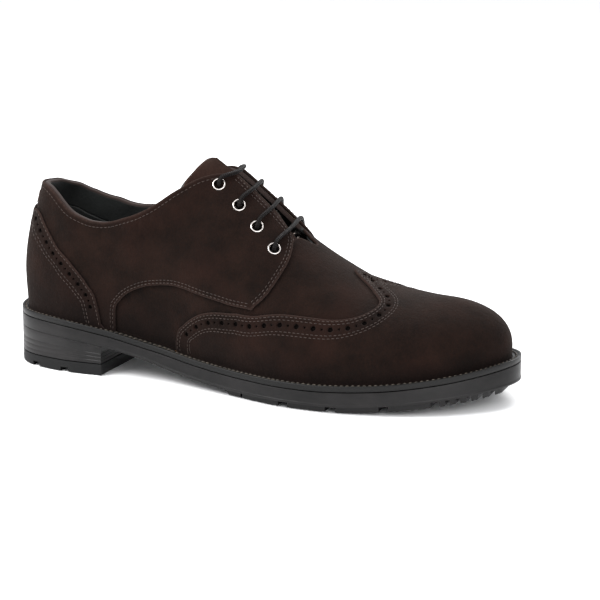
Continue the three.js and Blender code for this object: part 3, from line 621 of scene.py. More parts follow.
def net(outline, holes, mesh_x, mesh_y, rings=EDGE_RINGS):
    """Flat points and triangles that fill the outline but for its holes."""
    points, edges = [], []

    def add_loop(loop):
        start = sum(len(p) for p in points)
        count = len(loop)
        edges.extend((start + i, start + (i + 1) % count) for i in range(count))
        points.append(loop)

    add_loop(outline)
    for ring in rings:
        add_loop(aside(outline, ring, closed=True))
    for centre, radius, count in holes:
        add_loop(hole_ring(centre, radius, count))
        add_loop(hole_ring(centre, radius + 0.3, count))
        add_loop(hole_ring(centre, radius + 0.8, count))
    low, high = outline.min(0), outline.max(0)
    xs = np.concatenate([np.arange(low[0], min(high[0], 56), mesh_x * 0.5),
                         np.arange(max(low[0], 56), high[0], mesh_x)])
    ys = np.arange(low[1], high[1], mesh_y)
    grid = np.stack(np.meshgrid(xs, ys), axis=-1).reshape(-1, 2)
    grid = grid[inside(grid, aside(outline, rings[-1] + 0.5, closed=True))]
    grid = grid[inside(grid, outline)]
    if holes:
        where = skin(grid)
        for centre, radius, _ in holes:
            gap = np.linalg.norm(where - skin(centre[None]), axis=1)
            keep = gap > radius + 1.3
            grid, where = grid[keep], where[keep]
    points.append(grid)
    flat = np.concatenate(points)
    made = geometry.delaunay_2d_cdt([Vector(p) for p in flat], edges, [], 0, 1e-5)
    verts = np.array([tuple(v) for v in made[0]])
    tris = np.array([t for t in made[2] if len(t) == 3])
    middle = verts[tris].mean(axis=1)
    keep = inside(middle, outline)
    if holes:
        where = skin(middle)
        for centre, radius, _ in holes:
            keep &= np.linalg.norm(where - skin(centre[None]), axis=1) > radius * 0.99
    tris = tris[keep]
    used, tris = np.unique(tris, return_inverse=True)
    verts, tris = verts[used], tris.reshape(-1, 3)
    return verts, facing_up(verts, tris)


def signed_area(outline):
    """Twice the area, positive where the outline runs anticlockwise."""
    x, y = outline.T
    return (x * np.roll(y, -1) - np.roll(x, -1) * y).sum()


def rim_edges(tris):
    """The directed edges that only one triangle has."""
    edges = np.concatenate([tris[:, [0, 1]], tris[:, [1, 2]], tris[:, [2, 0]]])
    seen = {tuple(e) for e in edges}
    return [(a, b) for a, b in seen if (b, a) not in seen]


def leather_piece(name, outline, level, finish, nodes=None, holes=(), body=BODY,
                  mesh_x=2.2, mesh_y=1.1, relief=None, place=None, painted_shade=None, round_to=0.55,
                  fold_line=None):
    flat, tris = net(outline, holes, mesh_x, mesh_y)
    on_last, normal = skin(flat), skin_normal(flat)
    _, v = unpattern(flat)
    rim = skin(np.concatenate([outline, (outline + np.roll(outline, -1, axis=0)) / 2]))
    from_outline = nearest(on_last, rim)
    from_edge = from_outline
    if holes:
        punched = skin(np.concatenate([hole_ring(c, r, n) for c, r, n in holes]))
        from_edge = np.minimum(from_edge, nearest(on_last, punched))
    fall = np.clip(1 - from_edge / round_to, 0, 1)
    thick = level[1] - level[0]
    drop = thick * 0.42 * (1 - np.sqrt(1 - fall ** 2))
    out = np.full(len(flat), level[1]) - drop
    under = np.full(len(flat), level[0]) + drop * 0.5
    if relief is not None:
        out = out + relief(flat, on_last, from_edge)
    if place is None:
        top = on_last + normal * out[:, None]
        bottom = on_last + normal * under[:, None]
    else:
        top, bottom = place(flat, on_last, normal, out), place(flat, on_last, normal, under)
    count = len(flat)
    faces = tris.tolist() + (tris[:, ::-1] + count).tolist()
    faces += [(b, a, a + count, b + count) for a, b in rim_edges(tris)]
    piece = finished(name, np.concatenate([top, bottom]), faces, finish, body,
                     nodes if nodes is not None else (name,))
    # Painted highlight: spots near the cut outline are marked to be painted lighter.
    edge_highlight = np.clip(1 - from_outline / 1.5, 0, 1)
    # Painted shade: the outer face is marked dark where another leather lies on it, the inner face
    # away from its edges.
    top_shade = np.zeros(count) if painted_shade is None else painted_shade(flat)
    mark(piece, "edge", np.concatenate([edge_highlight, edge_highlight * 0.5]))
    mark(piece, "rise", np.concatenate([v, v]))
    underside_shade = np.clip(from_outline / 4 - 0.3, 0, 1)
    mark(piece, "painted_shade", np.concatenate([top_shade, underside_shade]))
    # Painted highlight: a band along the fold is marked to be painted lighter brown.
    if fold_line is not None:
        fold_highlight = np.clip(1 - nearest(on_last, fold_line) / 2.4, 0, 1)
        mark(piece, "fold", np.concatenate([fold_highlight, fold_highlight]))
    print(name, len(piece.data.polygons), "faces")
    return piece


# %% [markdown]
# ## Outlines
#
# The outlines are lists of (u, v) places on the inside of the foot; the outside is the mirror.
# Flowing stretches are joined into one closed outline that runs anticlockwise, and each
# stretch is smoothed by itself so that real corners stay sharp.

# %% Lines of the pattern
TOPLINE = [[0.035, 0.398], [0.062, 0.4], [0.083, 0.388], [0.103, 0.366], [0.125, 0.338],
           [0.15, 0.314], [0.18, 0.302], [0.206, 0.303], [0.233, 0.318], [0.269, 0.358],
           [0.293, 0.402], [0.324, 0.482], [0.353, 0.577], [0.381, 0.685], [0.404, 0.77],
           [0.431, 0.848]]
TOPLINE_BACK = 0.394
INSIDE_TOPLINE = [[0.03, 0.386], [0.055, 0.367], [0.08, 0.344], [0.105, 0.323], [0.135, 0.307],
                  [0.165, 0.299], [0.2, 0.299], [0.235, 0.314]] + TOPLINE[9:]
TOP = {-1: TOPLINE, 1: INSIDE_TOPLINE}
FACING = [[0.437, 0.874], [0.48, 0.87], [0.528, 0.867], [0.574, 0.853], [0.587, 0.823]]
TAB_FRONT = [[0.592, 0.741], [0.591, 0.651], [0.578, 0.504], [0.561, 0.389], [0.537, 0.295]]
QUARTER_SEAM = [[0.537, 0.295], [0.453, 0.257], [0.388, 0.238], [0.354, 0.215],
                [0.317, 0.181], [0.285, 0.14], [0.256, 0.089], [0.245, 0.049], [0.243, UNDER]]
CAP_EDGE = [[0.368, UNDER], [0.368, 0.01], [0.375, 0.071], [0.391, 0.112], [0.41, 0.15],
            [0.433, 0.185], [0.5, 0.245], [0.552, 0.288], [0.682, 0.427], [0.727, 0.505],
            [0.756, 0.594], [0.774, 0.68], [0.781, 0.749], [0.777, 0.813], [0.765, 0.9]]
CAP_PEAK = 0.735
FOXING_TOP = 0.298
FOXING_EDGE = [[0.03, 0.298], [0.05, 0.295], [0.088, 0.272], [0.097, 0.253], [0.131, 0.192],
               [0.162, 0.151], [0.192, 0.103], [0.209, 0.061], [0.226, UNDER]]
VAMP_BACK = [[0.6, 0.9], [0.583, 0.75], [0.58, 0.6], [0.56, 0.5], [0.5, 0.42],
             [0.42, 0.34], [0.33, 0.28], [0.26, 0.2], [0.215, 0.1], [0.205, UNDER]]
STAY = [[0.432, 0.86], [0.48, 0.856], [0.528, 0.853], [0.568, 0.842], [0.572, 0.8],
        [0.572, 0.6], [0.52, 0.6], [0.47, 0.615], [0.41, 0.62], [0.4, 0.7], [0.415, 0.8]]
COUNTER_EDGE = [[0.06, 0.2], [0.12, 0.16], [0.17, 0.1], [0.195, 0.03], [0.197, UNDER]]
PAD_LOW = [[0.345, 0.44], [0.3, 0.3], [0.26, 0.23], [0.2, 0.2], [0.14, 0.21], [0.07, 0.23]]
EYELETS = [[0.419, 0.724], [0.469, 0.701], [0.515, 0.676], [0.558, 0.647]]
COLLAR_END = 0.37
COLLAR = {side: [[0, TOPLINE_BACK]] + [p for p in TOP[side] if p[0] < COLLAR_END]
          for side in TOP}


def spots(places, side=1):
    u, v = np.array(places, float).T
    return pattern(side * u, v)


def flow(places, side=1):
    return spline(spots(places, side))


def feather_run(start, end):
    count = max(3, int(abs(end - start) * 160))
    u = np.linspace(start, end, count)
    return pattern(u, np.full(count, UNDER))


def closed_outline(*runs, pitch=1.6):
    """The runs joined, spaced evenly, corners kept, turning anticlockwise."""
    line = np.concatenate([even(run, pitch) for run in runs])
    keep = np.linalg.norm(skin(line) - skin(np.roll(line, 1, axis=0)), axis=1) > 0.2
    line = line[keep]
    return line if signed_area(line) > 0 else line[::-1]


def both_sides(edge, middle_u, middle_v=1.0):
    """A line from the outside over the ridge or the heel to the inside, in one flow."""
    left, right = spots(edge, -1), spots(edge[::-1], 1)
    centre = pattern(np.array([-middle_u]), np.array([middle_v]))
    return spline(np.concatenate([left, centre, right]))


def back_line(places, lift=0.0, inside_places=None):
    """A line round the heel from outside to inside."""
    left = [[u, v + lift] for u, v in places]
    right = [[u, v + lift] for u, v in inside_places or places]
    return spline(np.concatenate([spots(left[1:][::-1], -1), spots(right, 1)]))


def collar_run(reach, lift, more=()):
    """The collar line round the heel as far as u = reach on both sides, moved up or down."""
    kept = {side: [p for p in COLLAR[side] if p[0] <= reach] + list(more) for side in COLLAR}
    return back_line(kept[-1], lift, kept[1])


# %% [markdown]
# ## Lining and reinforcements
#
# The lining is the shoe's inner skin, cut in five: heel, two quarters, a strip round the
# collar, and one for the vamp. Over it lie the hidden shapers: a heel counter, a toe puff,
# stays under the eyelets and foam in the collar. They are made before the leathers that cover
# them.

# %% The lining
SEAM = 0.0004
BAND = 0.09
REACH = 0.36
near_collar = [[u, v - BAND - 0.001] for u, v in TOPLINE if 0.25 < u < 0.35]
collar_top = collar_run(REACH, 0.0)
collar_top_points = skin(even(collar_top, 0.8))
front_edge = {side: skin(even(flow([p for p in TOPLINE if p[0] > 0.35] + FACING, side), 0.8))
              for side in (-1, 1)}


def rolled(line_points, rise=1.75, width=2.6):
    """The lining rolls outwards along an edge, to meet the folded edge of the upper."""
    def relief(flat, on_last, from_edge):
        near = nearest(on_last, line_points)
        return rise * np.clip(1 - near / width, 0, 1) ** 0.5
    return relief


eye = {side: [(spots([p], side)[0], 3.0, 28) for p in EYELETS] for side in (-1, 1)}
LINING_SLOT = "lining_leather"
for side, name in ((-1, "lateral"), (1, "medial")):
    outline = closed_outline(
        flow([[0.25, UNDER], [0.25, 0.243]], side),
        flow([[0.25, 0.243]] + near_collar + [[0.356, 0.495], [0.3585, 0.59]], side),
        flow([[0.3585, 0.59]] + [p for p in TOPLINE if p[0] > REACH] + FACING[:1], side),
        flow(FACING[:4], side),
        flow([[0.574, 0.853], [0.5985, 0.83], [0.5985, 0.3], [0.5985, UNDER]], side),
        feather_run(side * 0.5985, side * 0.25))
    leather_piece(f"{name}_quarter_lining", outline, LINING, lining_finish,
                  holes=eye[side], mesh_x=2.4, mesh_y=1.2, relief=rolled(front_edge[side]),
                  fold_line=front_edge[side])
outline = closed_outline(
    collar_run(0.24, -BAND - 0.001, [[0.2485, 0.333]]),
    flow([[0.2485, 0.242], [0.2485, UNDER]], 1), feather_run(0.2485, -0.2485),
    flow([[0.2485, UNDER], [0.2485, 0.242]], -1))
leather_piece("heel_lining", outline, LINING, lining_finish, mesh_x=3, mesh_y=1.6)

outline = closed_outline(collar_top, collar_run(REACH, -BAND)[::-1], pitch=1.2)
leather_piece("collar_lining", outline, LINING, lining_finish, mesh_x=2.0,
              mesh_y=0.9, relief=rolled(collar_top_points), fold_line=collar_top_points)
lining_back = [[0.6, UNDER], [0.6, 0.3], [0.6, 0.75], [0.615, 0.92]]
outline = closed_outline(both_sides(lining_back, 0.64), feather_run(0.6, 1),
                         feather_run(-1, -0.6))
leather_piece("vamp_lining", outline, LINING, lining_finish, mesh_x=3, mesh_y=1.8)

# %% Counter, puff, stays and collar foam
outline = closed_outline(back_line([[0, 0.2]] + COUNTER_EDGE), feather_run(0.197, -0.197))
leather_piece("heel_counter", outline, MIDDLE, fibre_finish, mesh_x=3, mesh_y=1.8)
puff_side = [[0.8015, UNDER], [0.8015, 0.3], [0.8015, 0.7]]
outline = closed_outline(both_sides(puff_side, 0.8015), feather_run(0.8015, 1),
                         feather_run(-1, -0.8015))
leather_piece("toe_puff", outline, MIDDLE, puff_finish, mesh_x=3, mesh_y=1.8)
for side, name in ((-1, "lateral"), (1, "medial")):
    outline = closed_outline(flow([[u, min(v, 0.83)] for u, v in STAY + STAY[:1]], side))
    leather_piece(f"{name}_facing_stay", outline, MIDDLE, fibre_finish,
                  holes=eye[side], mesh_x=3, mesh_y=1.8)
pad_end = [COLLAR[1][-1][0] - 0.006, COLLAR[1][-1][1] - 0.05]
outline = closed_outline(collar_run(0.33, -0.035, [[pad_end[0], pad_end[1] + 0.035]]),
                         flow([pad_end] + PAD_LOW + [[0, 0.23]], 1),
                         flow([pad_end] + PAD_LOW + [[0, 0.23]], -1)[::-1])
collar_foam = leather_piece("collar_padding", outline, MIDDLE, foam_finish,
                            mesh_x=2.4, mesh_y=1.2)

# %% [markdown]
# ## The suede uppers
#
# The vamp goes on first, then the two quarters with their eyelet tabs, the wing cap over the
# toe and the foxing round the heel. The cap and the foxing carry the broguing: large punched
# holes about 9 mm apart with a pin hole between each pair. They are punched for real, through
# to the leather below.

# %% Punching
def punch_line(line, pitch, big, small):
    """Centres and sizes of a row of broguing along a flat line."""
    places = even(line, pitch / 2)[1:-1]
    return [(p, big if i % 2 == 0 else small, 16 if i % 2 == 0 else 8)
            for i, p in enumerate(places)]


def trimmed(line, low_v):
    """The stretch of a line that is above v."""
    _, v = unpattern(line)
    return line[v > low_v]


cap_edge = both_sides(CAP_EDGE, CAP_PEAK)
cap_outline = closed_outline(cap_edge, feather_run(0.368, 1), feather_run(-1, -0.368),
                             pitch=1.3)
foxing_edge = back_line([[0, FOXING_TOP]] + FOXING_EDGE)
foxing_outline = closed_outline(foxing_edge, feather_run(0.226, -0.226), pitch=1.3)
PIN = 0.55
CAP_ROW, CAP_PITCH, CAP_HOLE = 5.6, 9.3, 1.35
FOXING_ROW, FOXING_PITCH, FOXING_HOLE = 4.6, 7.6, 1.2
cap_even, foxing_even = even(cap_edge, 1.5), even(foxing_edge, 1.5)
cap_holes = punch_line(trimmed(aside(cap_even, -CAP_ROW), 0.045), CAP_PITCH, CAP_HOLE, PIN)
foxing_row = aside(foxing_even, FOXING_ROW)
foxing_holes = []
for side in (-1, 1):
    u, v = unpattern(foxing_row)
    stretch_of_row = foxing_row[(u * side > 0.045) & (v > 0.02)]
    foxing_holes += punch_line(stretch_of_row, FOXING_PITCH, FOXING_HOLE, PIN)
print("cap holes", len(cap_holes), "foxing holes", len(foxing_holes))

# %% Vamp, quarters, cap, foxing and tab
SUEDE_SLOT = "suede"
whole_top = back_line([[0, TOPLINE_BACK]] + TOP[-1], 0.0, [[0, TOPLINE_BACK]] + TOP[1])
top_u, _ = unpattern(whole_top)
quarter_top = {-1: whole_top[top_u < -SEAM][::-1], 1: whole_top[top_u > SEAM]}
quarter_outline = {}
for side in (-1, 1):
    quarter_outline[side] = closed_outline(
        flow([[SEAM, UNDER], [SEAM, TOPLINE_BACK]], side), quarter_top[side],
        flow(TOPLINE[-1:] + FACING + TAB_FRONT, side),
        flow(QUARTER_SEAM, side), feather_run(side * 0.243, side * SEAM), pitch=1.3)


def shade_under_leather(*outlines):
    """A test for spots that another leather lies on, which the suede paints dark as shade."""
    painted_shade_zone = [aside(o, 0.9, closed=True) for o in outlines]
    return lambda flat: np.any([inside(flat, o) for o in painted_shade_zone], axis=0).astype(float)


vamp_outline = closed_outline(
    both_sides(VAMP_BACK[::-1], 0.64), feather_run(0.205, 0.8),
    flow([[0.8, UNDER], [0.8, 0.3], [0.8, 0.7], [0.8, 0.999]], 1),
    flow([[0.8, 0.999], [0.8, 0.7], [0.8, 0.3], [0.8, UNDER]], -1), feather_run(-0.8, -0.205))
# The vamp is painted dark as shade where the cap and the quarters lie on it.
leather_piece("vamp", vamp_outline, MIDDLE, suede_dark,
              painted_shade=shade_under_leather(cap_outline, *quarter_outline.values()))
leather_piece("wing_cap", cap_outline, UPPER, suede_dark, holes=cap_holes)


def collar_puff(flat, on_last, from_edge):
    """The foam under the collar lifts the leather just below its folded edge."""
    u, _ = unpattern(flat)
    down = np.clip(nearest(on_last, collar_top_points) / 17, 0, 1)
    clear = np.clip((np.abs(u) - 0.1) / 0.05, 0, 1)
    return 1.1 * np.sin(math.pi * down) ** 1.3 * clear


for side, name in ((-1, "lateral"), (1, "medial")):
    # The quarters are painted dark as shade where the foxing lies on them.
    leather_piece(f"{name}_quarter", quarter_outline[side], UPPER, suede_dark,
                  holes=eye[side], relief=collar_puff, painted_shade=shade_under_leather(foxing_outline),
                  mesh_x=2.0)
leather_piece("heel_foxing", foxing_outline, FOXING, suede_dark,
              holes=foxing_holes, mesh_x=2.0, mesh_y=1.0)
tab = [[0.0, 0.304], [0.022, 0.304]]
outline = closed_outline(back_line(tab), flow([[0.022, 0.304], [0.022, 0.35]], 1),
                         back_line([[0.0, 0.35], [0.022, 0.35]])[::-1],
                         flow([[0.022, 0.35], [0.022, 0.304]], -1), pitch=0.8)
leather_piece("heel_tab", outline, FOXING, suede_red, mesh_x=1.6, mesh_y=1.0)

# %% [markdown]
# ## The tongue
#
# The tongue hangs under the facings from its base, and it is the one part that a hand can
# swing. Its three layers are stacked along one direction for each place along the ridge, so
# that they stay parallel where it is bent.

# %% The tongue's three layers
TONGUE_DROP = 4.36
TONGUE_HALF = 12.98
TONGUE_TOP, TONGUE_BASE, PAD_BASE = along_x(0.39), along_x(0.675), along_x(0.56)


def tongue_shape(inset, base):
    half, back = TONGUE_HALF - inset, TONGUE_TOP + inset
    side = [[base, half * 0.77], [along_x(0.45), half], [back - 3, half * 1.02],
            [back - 8, half * 0.97], [back - 7.2, half * 0.84], [back - 3.2, half * 0.58],
            [back - 0.4, half * 0.3]]
    right = np.array(side)
    left = right[::-1] * [1, -1]
    round_top = spline(np.concatenate([right, [[back + 0.6, 0.0]], left]))
    return closed_outline(round_top, np.array([[base, -half * 0.77], [base, half * 0.77]]),
                          pitch=1.0)


def hung(flat, on_last, normal, offset):
    """Sunk below the facings, each layer stacked out from the ridge."""
    x = flat[:, 0]
    t = np.clip((along_x(0.655) - x) / (along_x(0.655) - along_x(0.6)), 0, 1)
    drop = t * t * (3 - 2 * t) * TONGUE_DROP
    out = skin_normal(np.stack([x, np.zeros_like(x)], axis=1))
    return on_last - normal * (drop + GAP)[:, None] + out * offset[:, None]


def crown(flat, on_last, from_edge):
    """The padded middle of the tongue stands up between the facings."""
    clear = np.clip((along_x(0.585) - flat[:, 0]) / 14, 0, 1)
    return 4.2 * clear * np.clip(1 - (flat[:, 1] / 7.5) ** 2, 0, 1) * np.clip(from_edge / 3, 0, 1)


def turned_up(flat, on_last, from_edge):
    """The tongue's lining turns up at its edge to meet the suede, and hides the foam."""
    return 2.15 * np.clip(1 - from_edge / 2.2, 0, 1) ** 0.5


tongue_relief = {"tongue": crown, "tongue_lining": turned_up}
tongue_line = tongue_shape(0, TONGUE_BASE)
for name, outline, level, finish, slot in (
        ("tongue", tongue_line, (-1.2, 0.0), suede_tongue, SUEDE_SLOT),
        ("tongue_padding", tongue_shape(3, PAD_BASE), (-3.3, -1.5), foam_finish, "foam"),
        ("tongue_lining", tongue_line, (-4.8, -3.6), lining_finish, LINING_SLOT)):
    layer = leather_piece(name, outline, level, finish, body="tongue_flap", place=hung,
                          mesh_x=2.0, mesh_y=1.4, relief=tongue_relief.get(name))
    slot == "foam"

# %% [markdown]
# ## Seams
#
# Each seam is a row of real stitches. One stitch is a short arch of thread whose ends dive
# into the leather, with a few dozen faces, and every row is that arch set down again and
# again along a line on the pattern.

# %% One stitch and a row of them
def arch(length, thick, sides=6, rings=5):
    """Points and faces of one stitch along X, highest in the middle."""
    points, faces = [], []
    for i in range(rings):
        t = i / (rings - 1)
        x = (t - 0.5) * length
        radius = thick * (0.55 + 0.45 * math.sin(math.pi * t))
        lift = thick * (1.25 * math.sin(math.pi * t) - 0.85)
        for k in range(sides):
            a = 2 * math.pi * k / sides
            points.append((x, radius * math.cos(a), lift + radius * math.sin(a)))
    for i in range(rings - 1):
        for k in range(sides):
            a, b = i * sides + k, i * sides + (k + 1) % sides
            faces.append((a, a + sides, b + sides, b))
    last = (rings - 1) * sides
    faces.append(tuple(range(sides)))
    faces.append(tuple(last + k for k in range(sides))[::-1])
    return np.array(points), faces


def set_stitches(name, centres, along, up, length, thick, finish, body=BODY):
    shape, faces = arch(length, thick)
    along = unit(along)
    up = unit(up - along * (up * along).sum(-1, keepdims=True))
    over = np.cross(up, along)
    verts = (centres[:, None] + along[:, None] * shape[None, :, :1]
             + over[:, None] * shape[None, :, 1:2] + up[:, None] * shape[None, :, 2:])
    every = [tuple(i * len(shape) + v for v in f) for i in range(len(centres)) for f in faces]
    piece = finished(name, verts.reshape(-1, 3), every, finish, body, smooth=80)
    print(name, len(centres), "stitches")
    return piece


def seam(name, lines, level, pitch=2.5, length=2.0, thick=0.21, relief=None):
    centres, along, up = [], [], []
    for line in lines:
        spots_on = even(line, pitch)
        spots_on = (spots_on[1:] + spots_on[:-1]) / 2
        ahead = np.gradient(skin(spots_on), axis=0)
        normal = skin_normal(spots_on)
        lift = level + (relief(spots_on, skin(spots_on), None) if relief else 0.0)
        centres.append(skin(spots_on) + normal * np.reshape(lift, (-1, 1)))
        along.append(ahead)
        up.append(normal)
    return set_stitches(name, *(np.concatenate(a) for a in (centres, along, up)),
                        length, thick, thread_finish)


CAP_SEAMS, FOXING_SEAMS = (1.4, 3.0, 9.0, 10.6), (1.2, 7.6, 9.2)
QUARTER_SEAMS, TOPLINE_SEAM = (1.4, 3.0), 3.0
AT_WELT = -0.03
seam("wing_cap_stitching", [trimmed(aside(cap_even, -d), AT_WELT) for d in CAP_SEAMS], UPPER[1])
foxing_lines = []
for distance in FOXING_SEAMS:
    row = aside(foxing_even, distance)
    u, v = unpattern(row)
    for side in (-1, 1):
        foxing_lines.append(row[(u * side > 0.035) & (v > AT_WELT)])
seam("foxing_stitching", foxing_lines, FOXING[1])
for side, name in ((-1, "lateral"), (1, "medial")):
    rows = []
    front = even(flow(TOPLINE[-1:] + FACING + TAB_FRONT, side), 1.2)
    lower = even(flow(QUARTER_SEAM, side), 1.2)
    for distance in QUARTER_SEAMS:
        rows.append(aside(front, side * distance)[3:-2])
        rows.append(trimmed(aside(lower, side * distance)[2:], AT_WELT))
    row = aside(even(quarter_top[side], 1.2), side * TOPLINE_SEAM)
    u, _ = unpattern(row)
    rows.append(row[np.abs(u) > 0.045][:-3])
    seam(f"{name}_quarter_stitching", rows, UPPER[1], relief=collar_puff)

# %% [markdown]
# ## Eyelets
#
# An eyelet is a thin brass tube that is rolled over at the top and clinched flat inside. It is
# a turned shape, so half of its section is spun round an axis once, and each of the eight is a
# copy set square to the leather in its own punched hole.

# %% One eyelet, spun
def eyelet_shape():
    top, low = UPPER[1] + 0.12, -0.35
    curl = [(3.3 + 0.44 * math.cos(a), top + 0.4 * math.sin(a))
            for a in np.linspace(0, math.pi, 9)]
    section = [(3.74, top), *curl[1:-1], (2.8, top - 0.25), (2.45, top - 0.9),
               (2.4, low - 0.5), (3.5, low - 0.5), (3.5, low), (2.9, low), (2.9, top)]
    mesh = bpy.data.meshes.new("eyelet_section")
    count = len(section)
    mesh.from_pydata([(x, 0, z) for x, z in section], [(i, (i + 1) % count) for i in range(count)],
                     [])
    shape = bpy.data.objects.new("eyelet_section", mesh)
    bpy.context.collection.objects.link(shape)
    bpy.ops.object.select_all(action="DESELECT")
    shape.select_set(True)
    bpy.context.view_layer.objects.active = shape
    bpy.ops.object.mode_set(mode="EDIT")
    bpy.ops.mesh.select_all(action="SELECT")
    bpy.ops.mesh.spin(steps=32, angle=2 * math.pi, center=(0, 0, 0), axis=(0, 0, 1))
    bpy.ops.mesh.select_all(action="SELECT")
    bpy.ops.mesh.remove_doubles(threshold=0.001)
    bpy.ops.mesh.normals_make_consistent(inside=False)
    bpy.ops.object.mode_set(mode="OBJECT")
    points = np.array([tuple(v.co) for v in shape.data.vertices])
    faces = [tuple(f.vertices) for f in shape.data.polygons]
    bpy.data.objects.remove(shape)
    return points, faces


eyelet_points, eyelet_faces = eyelet_shape()
for side, name in ((-1, "lateral"), (1, "medial")):
    for row, place in enumerate(EYELETS):
        flat = spots([place], side)
        up = skin_normal(flat)[0]
        e1 = unit(np.cross(up, [0.0, 1.0, 0.0]))
        e2 = np.cross(up, e1)
        points = skin(flat)[0] + eyelet_points @ np.stack([e1, e2, up])
        finished(f"{name}_eyelet_{row + 1}", points, eyelet_faces, nickel_finish,
                 nodes=(f"{name}_eyelet_{row + 1}",), smooth=50)
print("eyelets", 2 * len(EYELETS))

# %% [markdown]
# ## The lace
#
# The lace is a round waxed cord. It crosses the tongue in straight bars, dives through the
# eyelets and runs under the facings, and its two ends are tucked inside. It is a tube along
# one smooth route, with the braid in the finish, which follows the tube's own UV map.

# %% The lace and its braid
LACE_RADIUS = 1.22
CLINCH = 1.26
lace = Finish("braided_lace", Specular_IOR_Level=0.12)
uv = lace.node("ShaderNodeUVMap", {"uv_map": "braid"}, {}, "UV")
split = lace.node("ShaderNodeSeparateXYZ", {}, {0: uv}, 0)
across = Wire(lace, split.socket.node.outputs[1])


def weave(a):
    return lace.node("ShaderNodeMath", {"operation": "SINE"}, {0: a})


braid = weave((split + across) * (2 * math.pi)) * weave((split - across) * (2 * math.pi))
lace.colour(lace.mix(lace.range(braid, -0.6, 0.8), rgb(5, 4, 4), rgb(22, 17, 16)))
lace.rough(lace.range(lace.noise(900, 2), 0.3, 0.7, 0.5, 0.72))
lace.bump(braid, 0.00022)


def near_eyelet(side, row, du, dv, offset):
    u, v = EYELETS[row]
    flat = spots([[u + du, v + dv]], side)
    return (skin(flat) + skin_normal(flat) * offset)[0]


def lace_side(side, row, du, dv):
    inner, flange = -CLINCH - LACE_RADIUS - GAP, UPPER[1] + 0.9
    edge = spots([FACING[row]], side)
    return [near_eyelet(side, row, du, dv, inner), near_eyelet(side, row, 0, 0, 0),
            near_eyelet(side, row, 0, 0.004, flange),
            near_eyelet(side, row, 0, 0.035, flange + LACE_RADIUS),
            (skin(edge) + skin_normal(edge) * (UPPER[1] + LACE_RADIUS + 0.1))[0]]


def lace_bar(side, row, start, end):
    return lace_side(side, row, *start) + lace_side(-side, row, *end)[::-1]


inner = -CLINCH - LACE_RADIUS - GAP
tucked, back, ahead = [0, -0.025], [-0.005, 0], [0.005, 0]
route = ([near_eyelet(-1, 1, 0, dv, inner) for dv in (-0.2, -0.11)]
         + lace_bar(-1, 1, tucked, ahead) + [near_eyelet(1, 2, 0, 0.07, inner)]
         + lace_bar(1, 3, back, back) + lace_bar(-1, 2, ahead, [-0.003, -0.015])
         + [near_eyelet(1, 1, 0, -0.09, inner)] + lace_bar(1, 0, ahead, tucked)
         + [near_eyelet(-1, 0, 0, dv, inner) for dv in (-0.11, -0.2)])


def tube(line, radius, sides):
    """Points, faces and UVs of a round tube with closed ends."""
    ahead = unit(np.gradient(line, axis=0))
    side = np.zeros_like(line)
    side[0] = unit(np.cross(ahead[0], [0.1, 0.3, 1.0]))
    for i in range(1, len(line)):
        kept = side[i - 1] - ahead[i] * (side[i - 1] @ ahead[i])
        side[i] = unit(kept)
    over = np.cross(ahead, side)
    angle = np.arange(sides) * 2 * math.pi / sides
    points = (line[:, None] + radius * (np.cos(angle)[None, :, None] * side[:, None]
                                        + np.sin(angle)[None, :, None] * over[:, None]))
    run = np.concatenate([[0], np.cumsum(np.linalg.norm(np.diff(line, axis=0), axis=1))])
    faces, uvs = [], []
    for i in range(len(line) - 1):
        for k in range(sides):
            a, b = i * sides + k, i * sides + (k + 1) % sides
            faces.append((a, b, b + sides, a + sides))
            u0, u1 = run[i] / 2.2, run[i + 1] / 2.2
            v0, v1 = 2 * k / sides, 2 * (k + 1) / sides
            uvs += [(u0, v0), (u0, v1), (u1, v1), (u1, v0)]
    end = (len(line) - 1) * sides
    faces += [tuple(range(sides))[::-1], tuple(end + k for k in range(sides))]
    uvs += [(0, 0)] * (2 * sides)
    return points.reshape(-1, 3), faces, uvs, run[-1]


lace_line = spline(np.array(route), samples=12)
points, faces, uvs, lace_length = tube(lace_line, LACE_RADIUS, 14)
lace_piece = finished("lace", points, faces, lace.material, nodes=("lace",),
                      smooth=80)
uv_layer = lace_piece.data.uv_layers.new(name="braid")
uv_layer.data.foreach_set("uv", np.array(uvs, np.float32).ravel())
print("lace", round(lace_length), "mm")

# %% [markdown]
# ## The bottom
#
# The welt, the outsole and the heel all follow the feather edge at a fixed margin, so their
# walls are rings of that line at other distances and heights, joined one below the other.
# Rounded edges and grooves are just more rings. The top and the ground face are filled with a
# net, because both rise towards heel and toe.

# %% Walls from rings
RING = 320
ring_u = -1 + 2 * np.arange(RING) / RING


def footline(distance):
    base = feather_at(ring_u)
    return base + feather_normal(ring_u) * np.reshape(distance, (-1, 1))


def fill(ring, height, up, step=4.0):
    """Points and triangles that close a ring, curved by height(x)."""
    low, high = ring.min(0), ring.max(0)
    grid = np.stack(np.meshgrid(np.arange(low[0], high[0], step),
                                np.arange(low[1], high[1], step)), axis=-1).reshape(-1, 2)
    grid = grid[inside(grid, ring)]
    if len(grid):
        gap = np.linalg.norm(grid[:, None] - ring[None], axis=2).min(axis=1)
        grid = grid[gap > step * 0.4]
    flat = np.concatenate([ring, grid]) if len(grid) else ring
    count = len(ring)
    edges = [(i, (i + 1) % count) for i in range(count)]
    made = geometry.delaunay_2d_cdt([Vector(p) for p in flat], edges, [], 1, 1e-6)
    tris = facing_up(flat, np.array(made[2]), up)
    return grid, height(grid[:, 0]) if len(grid) else np.zeros(0), tris


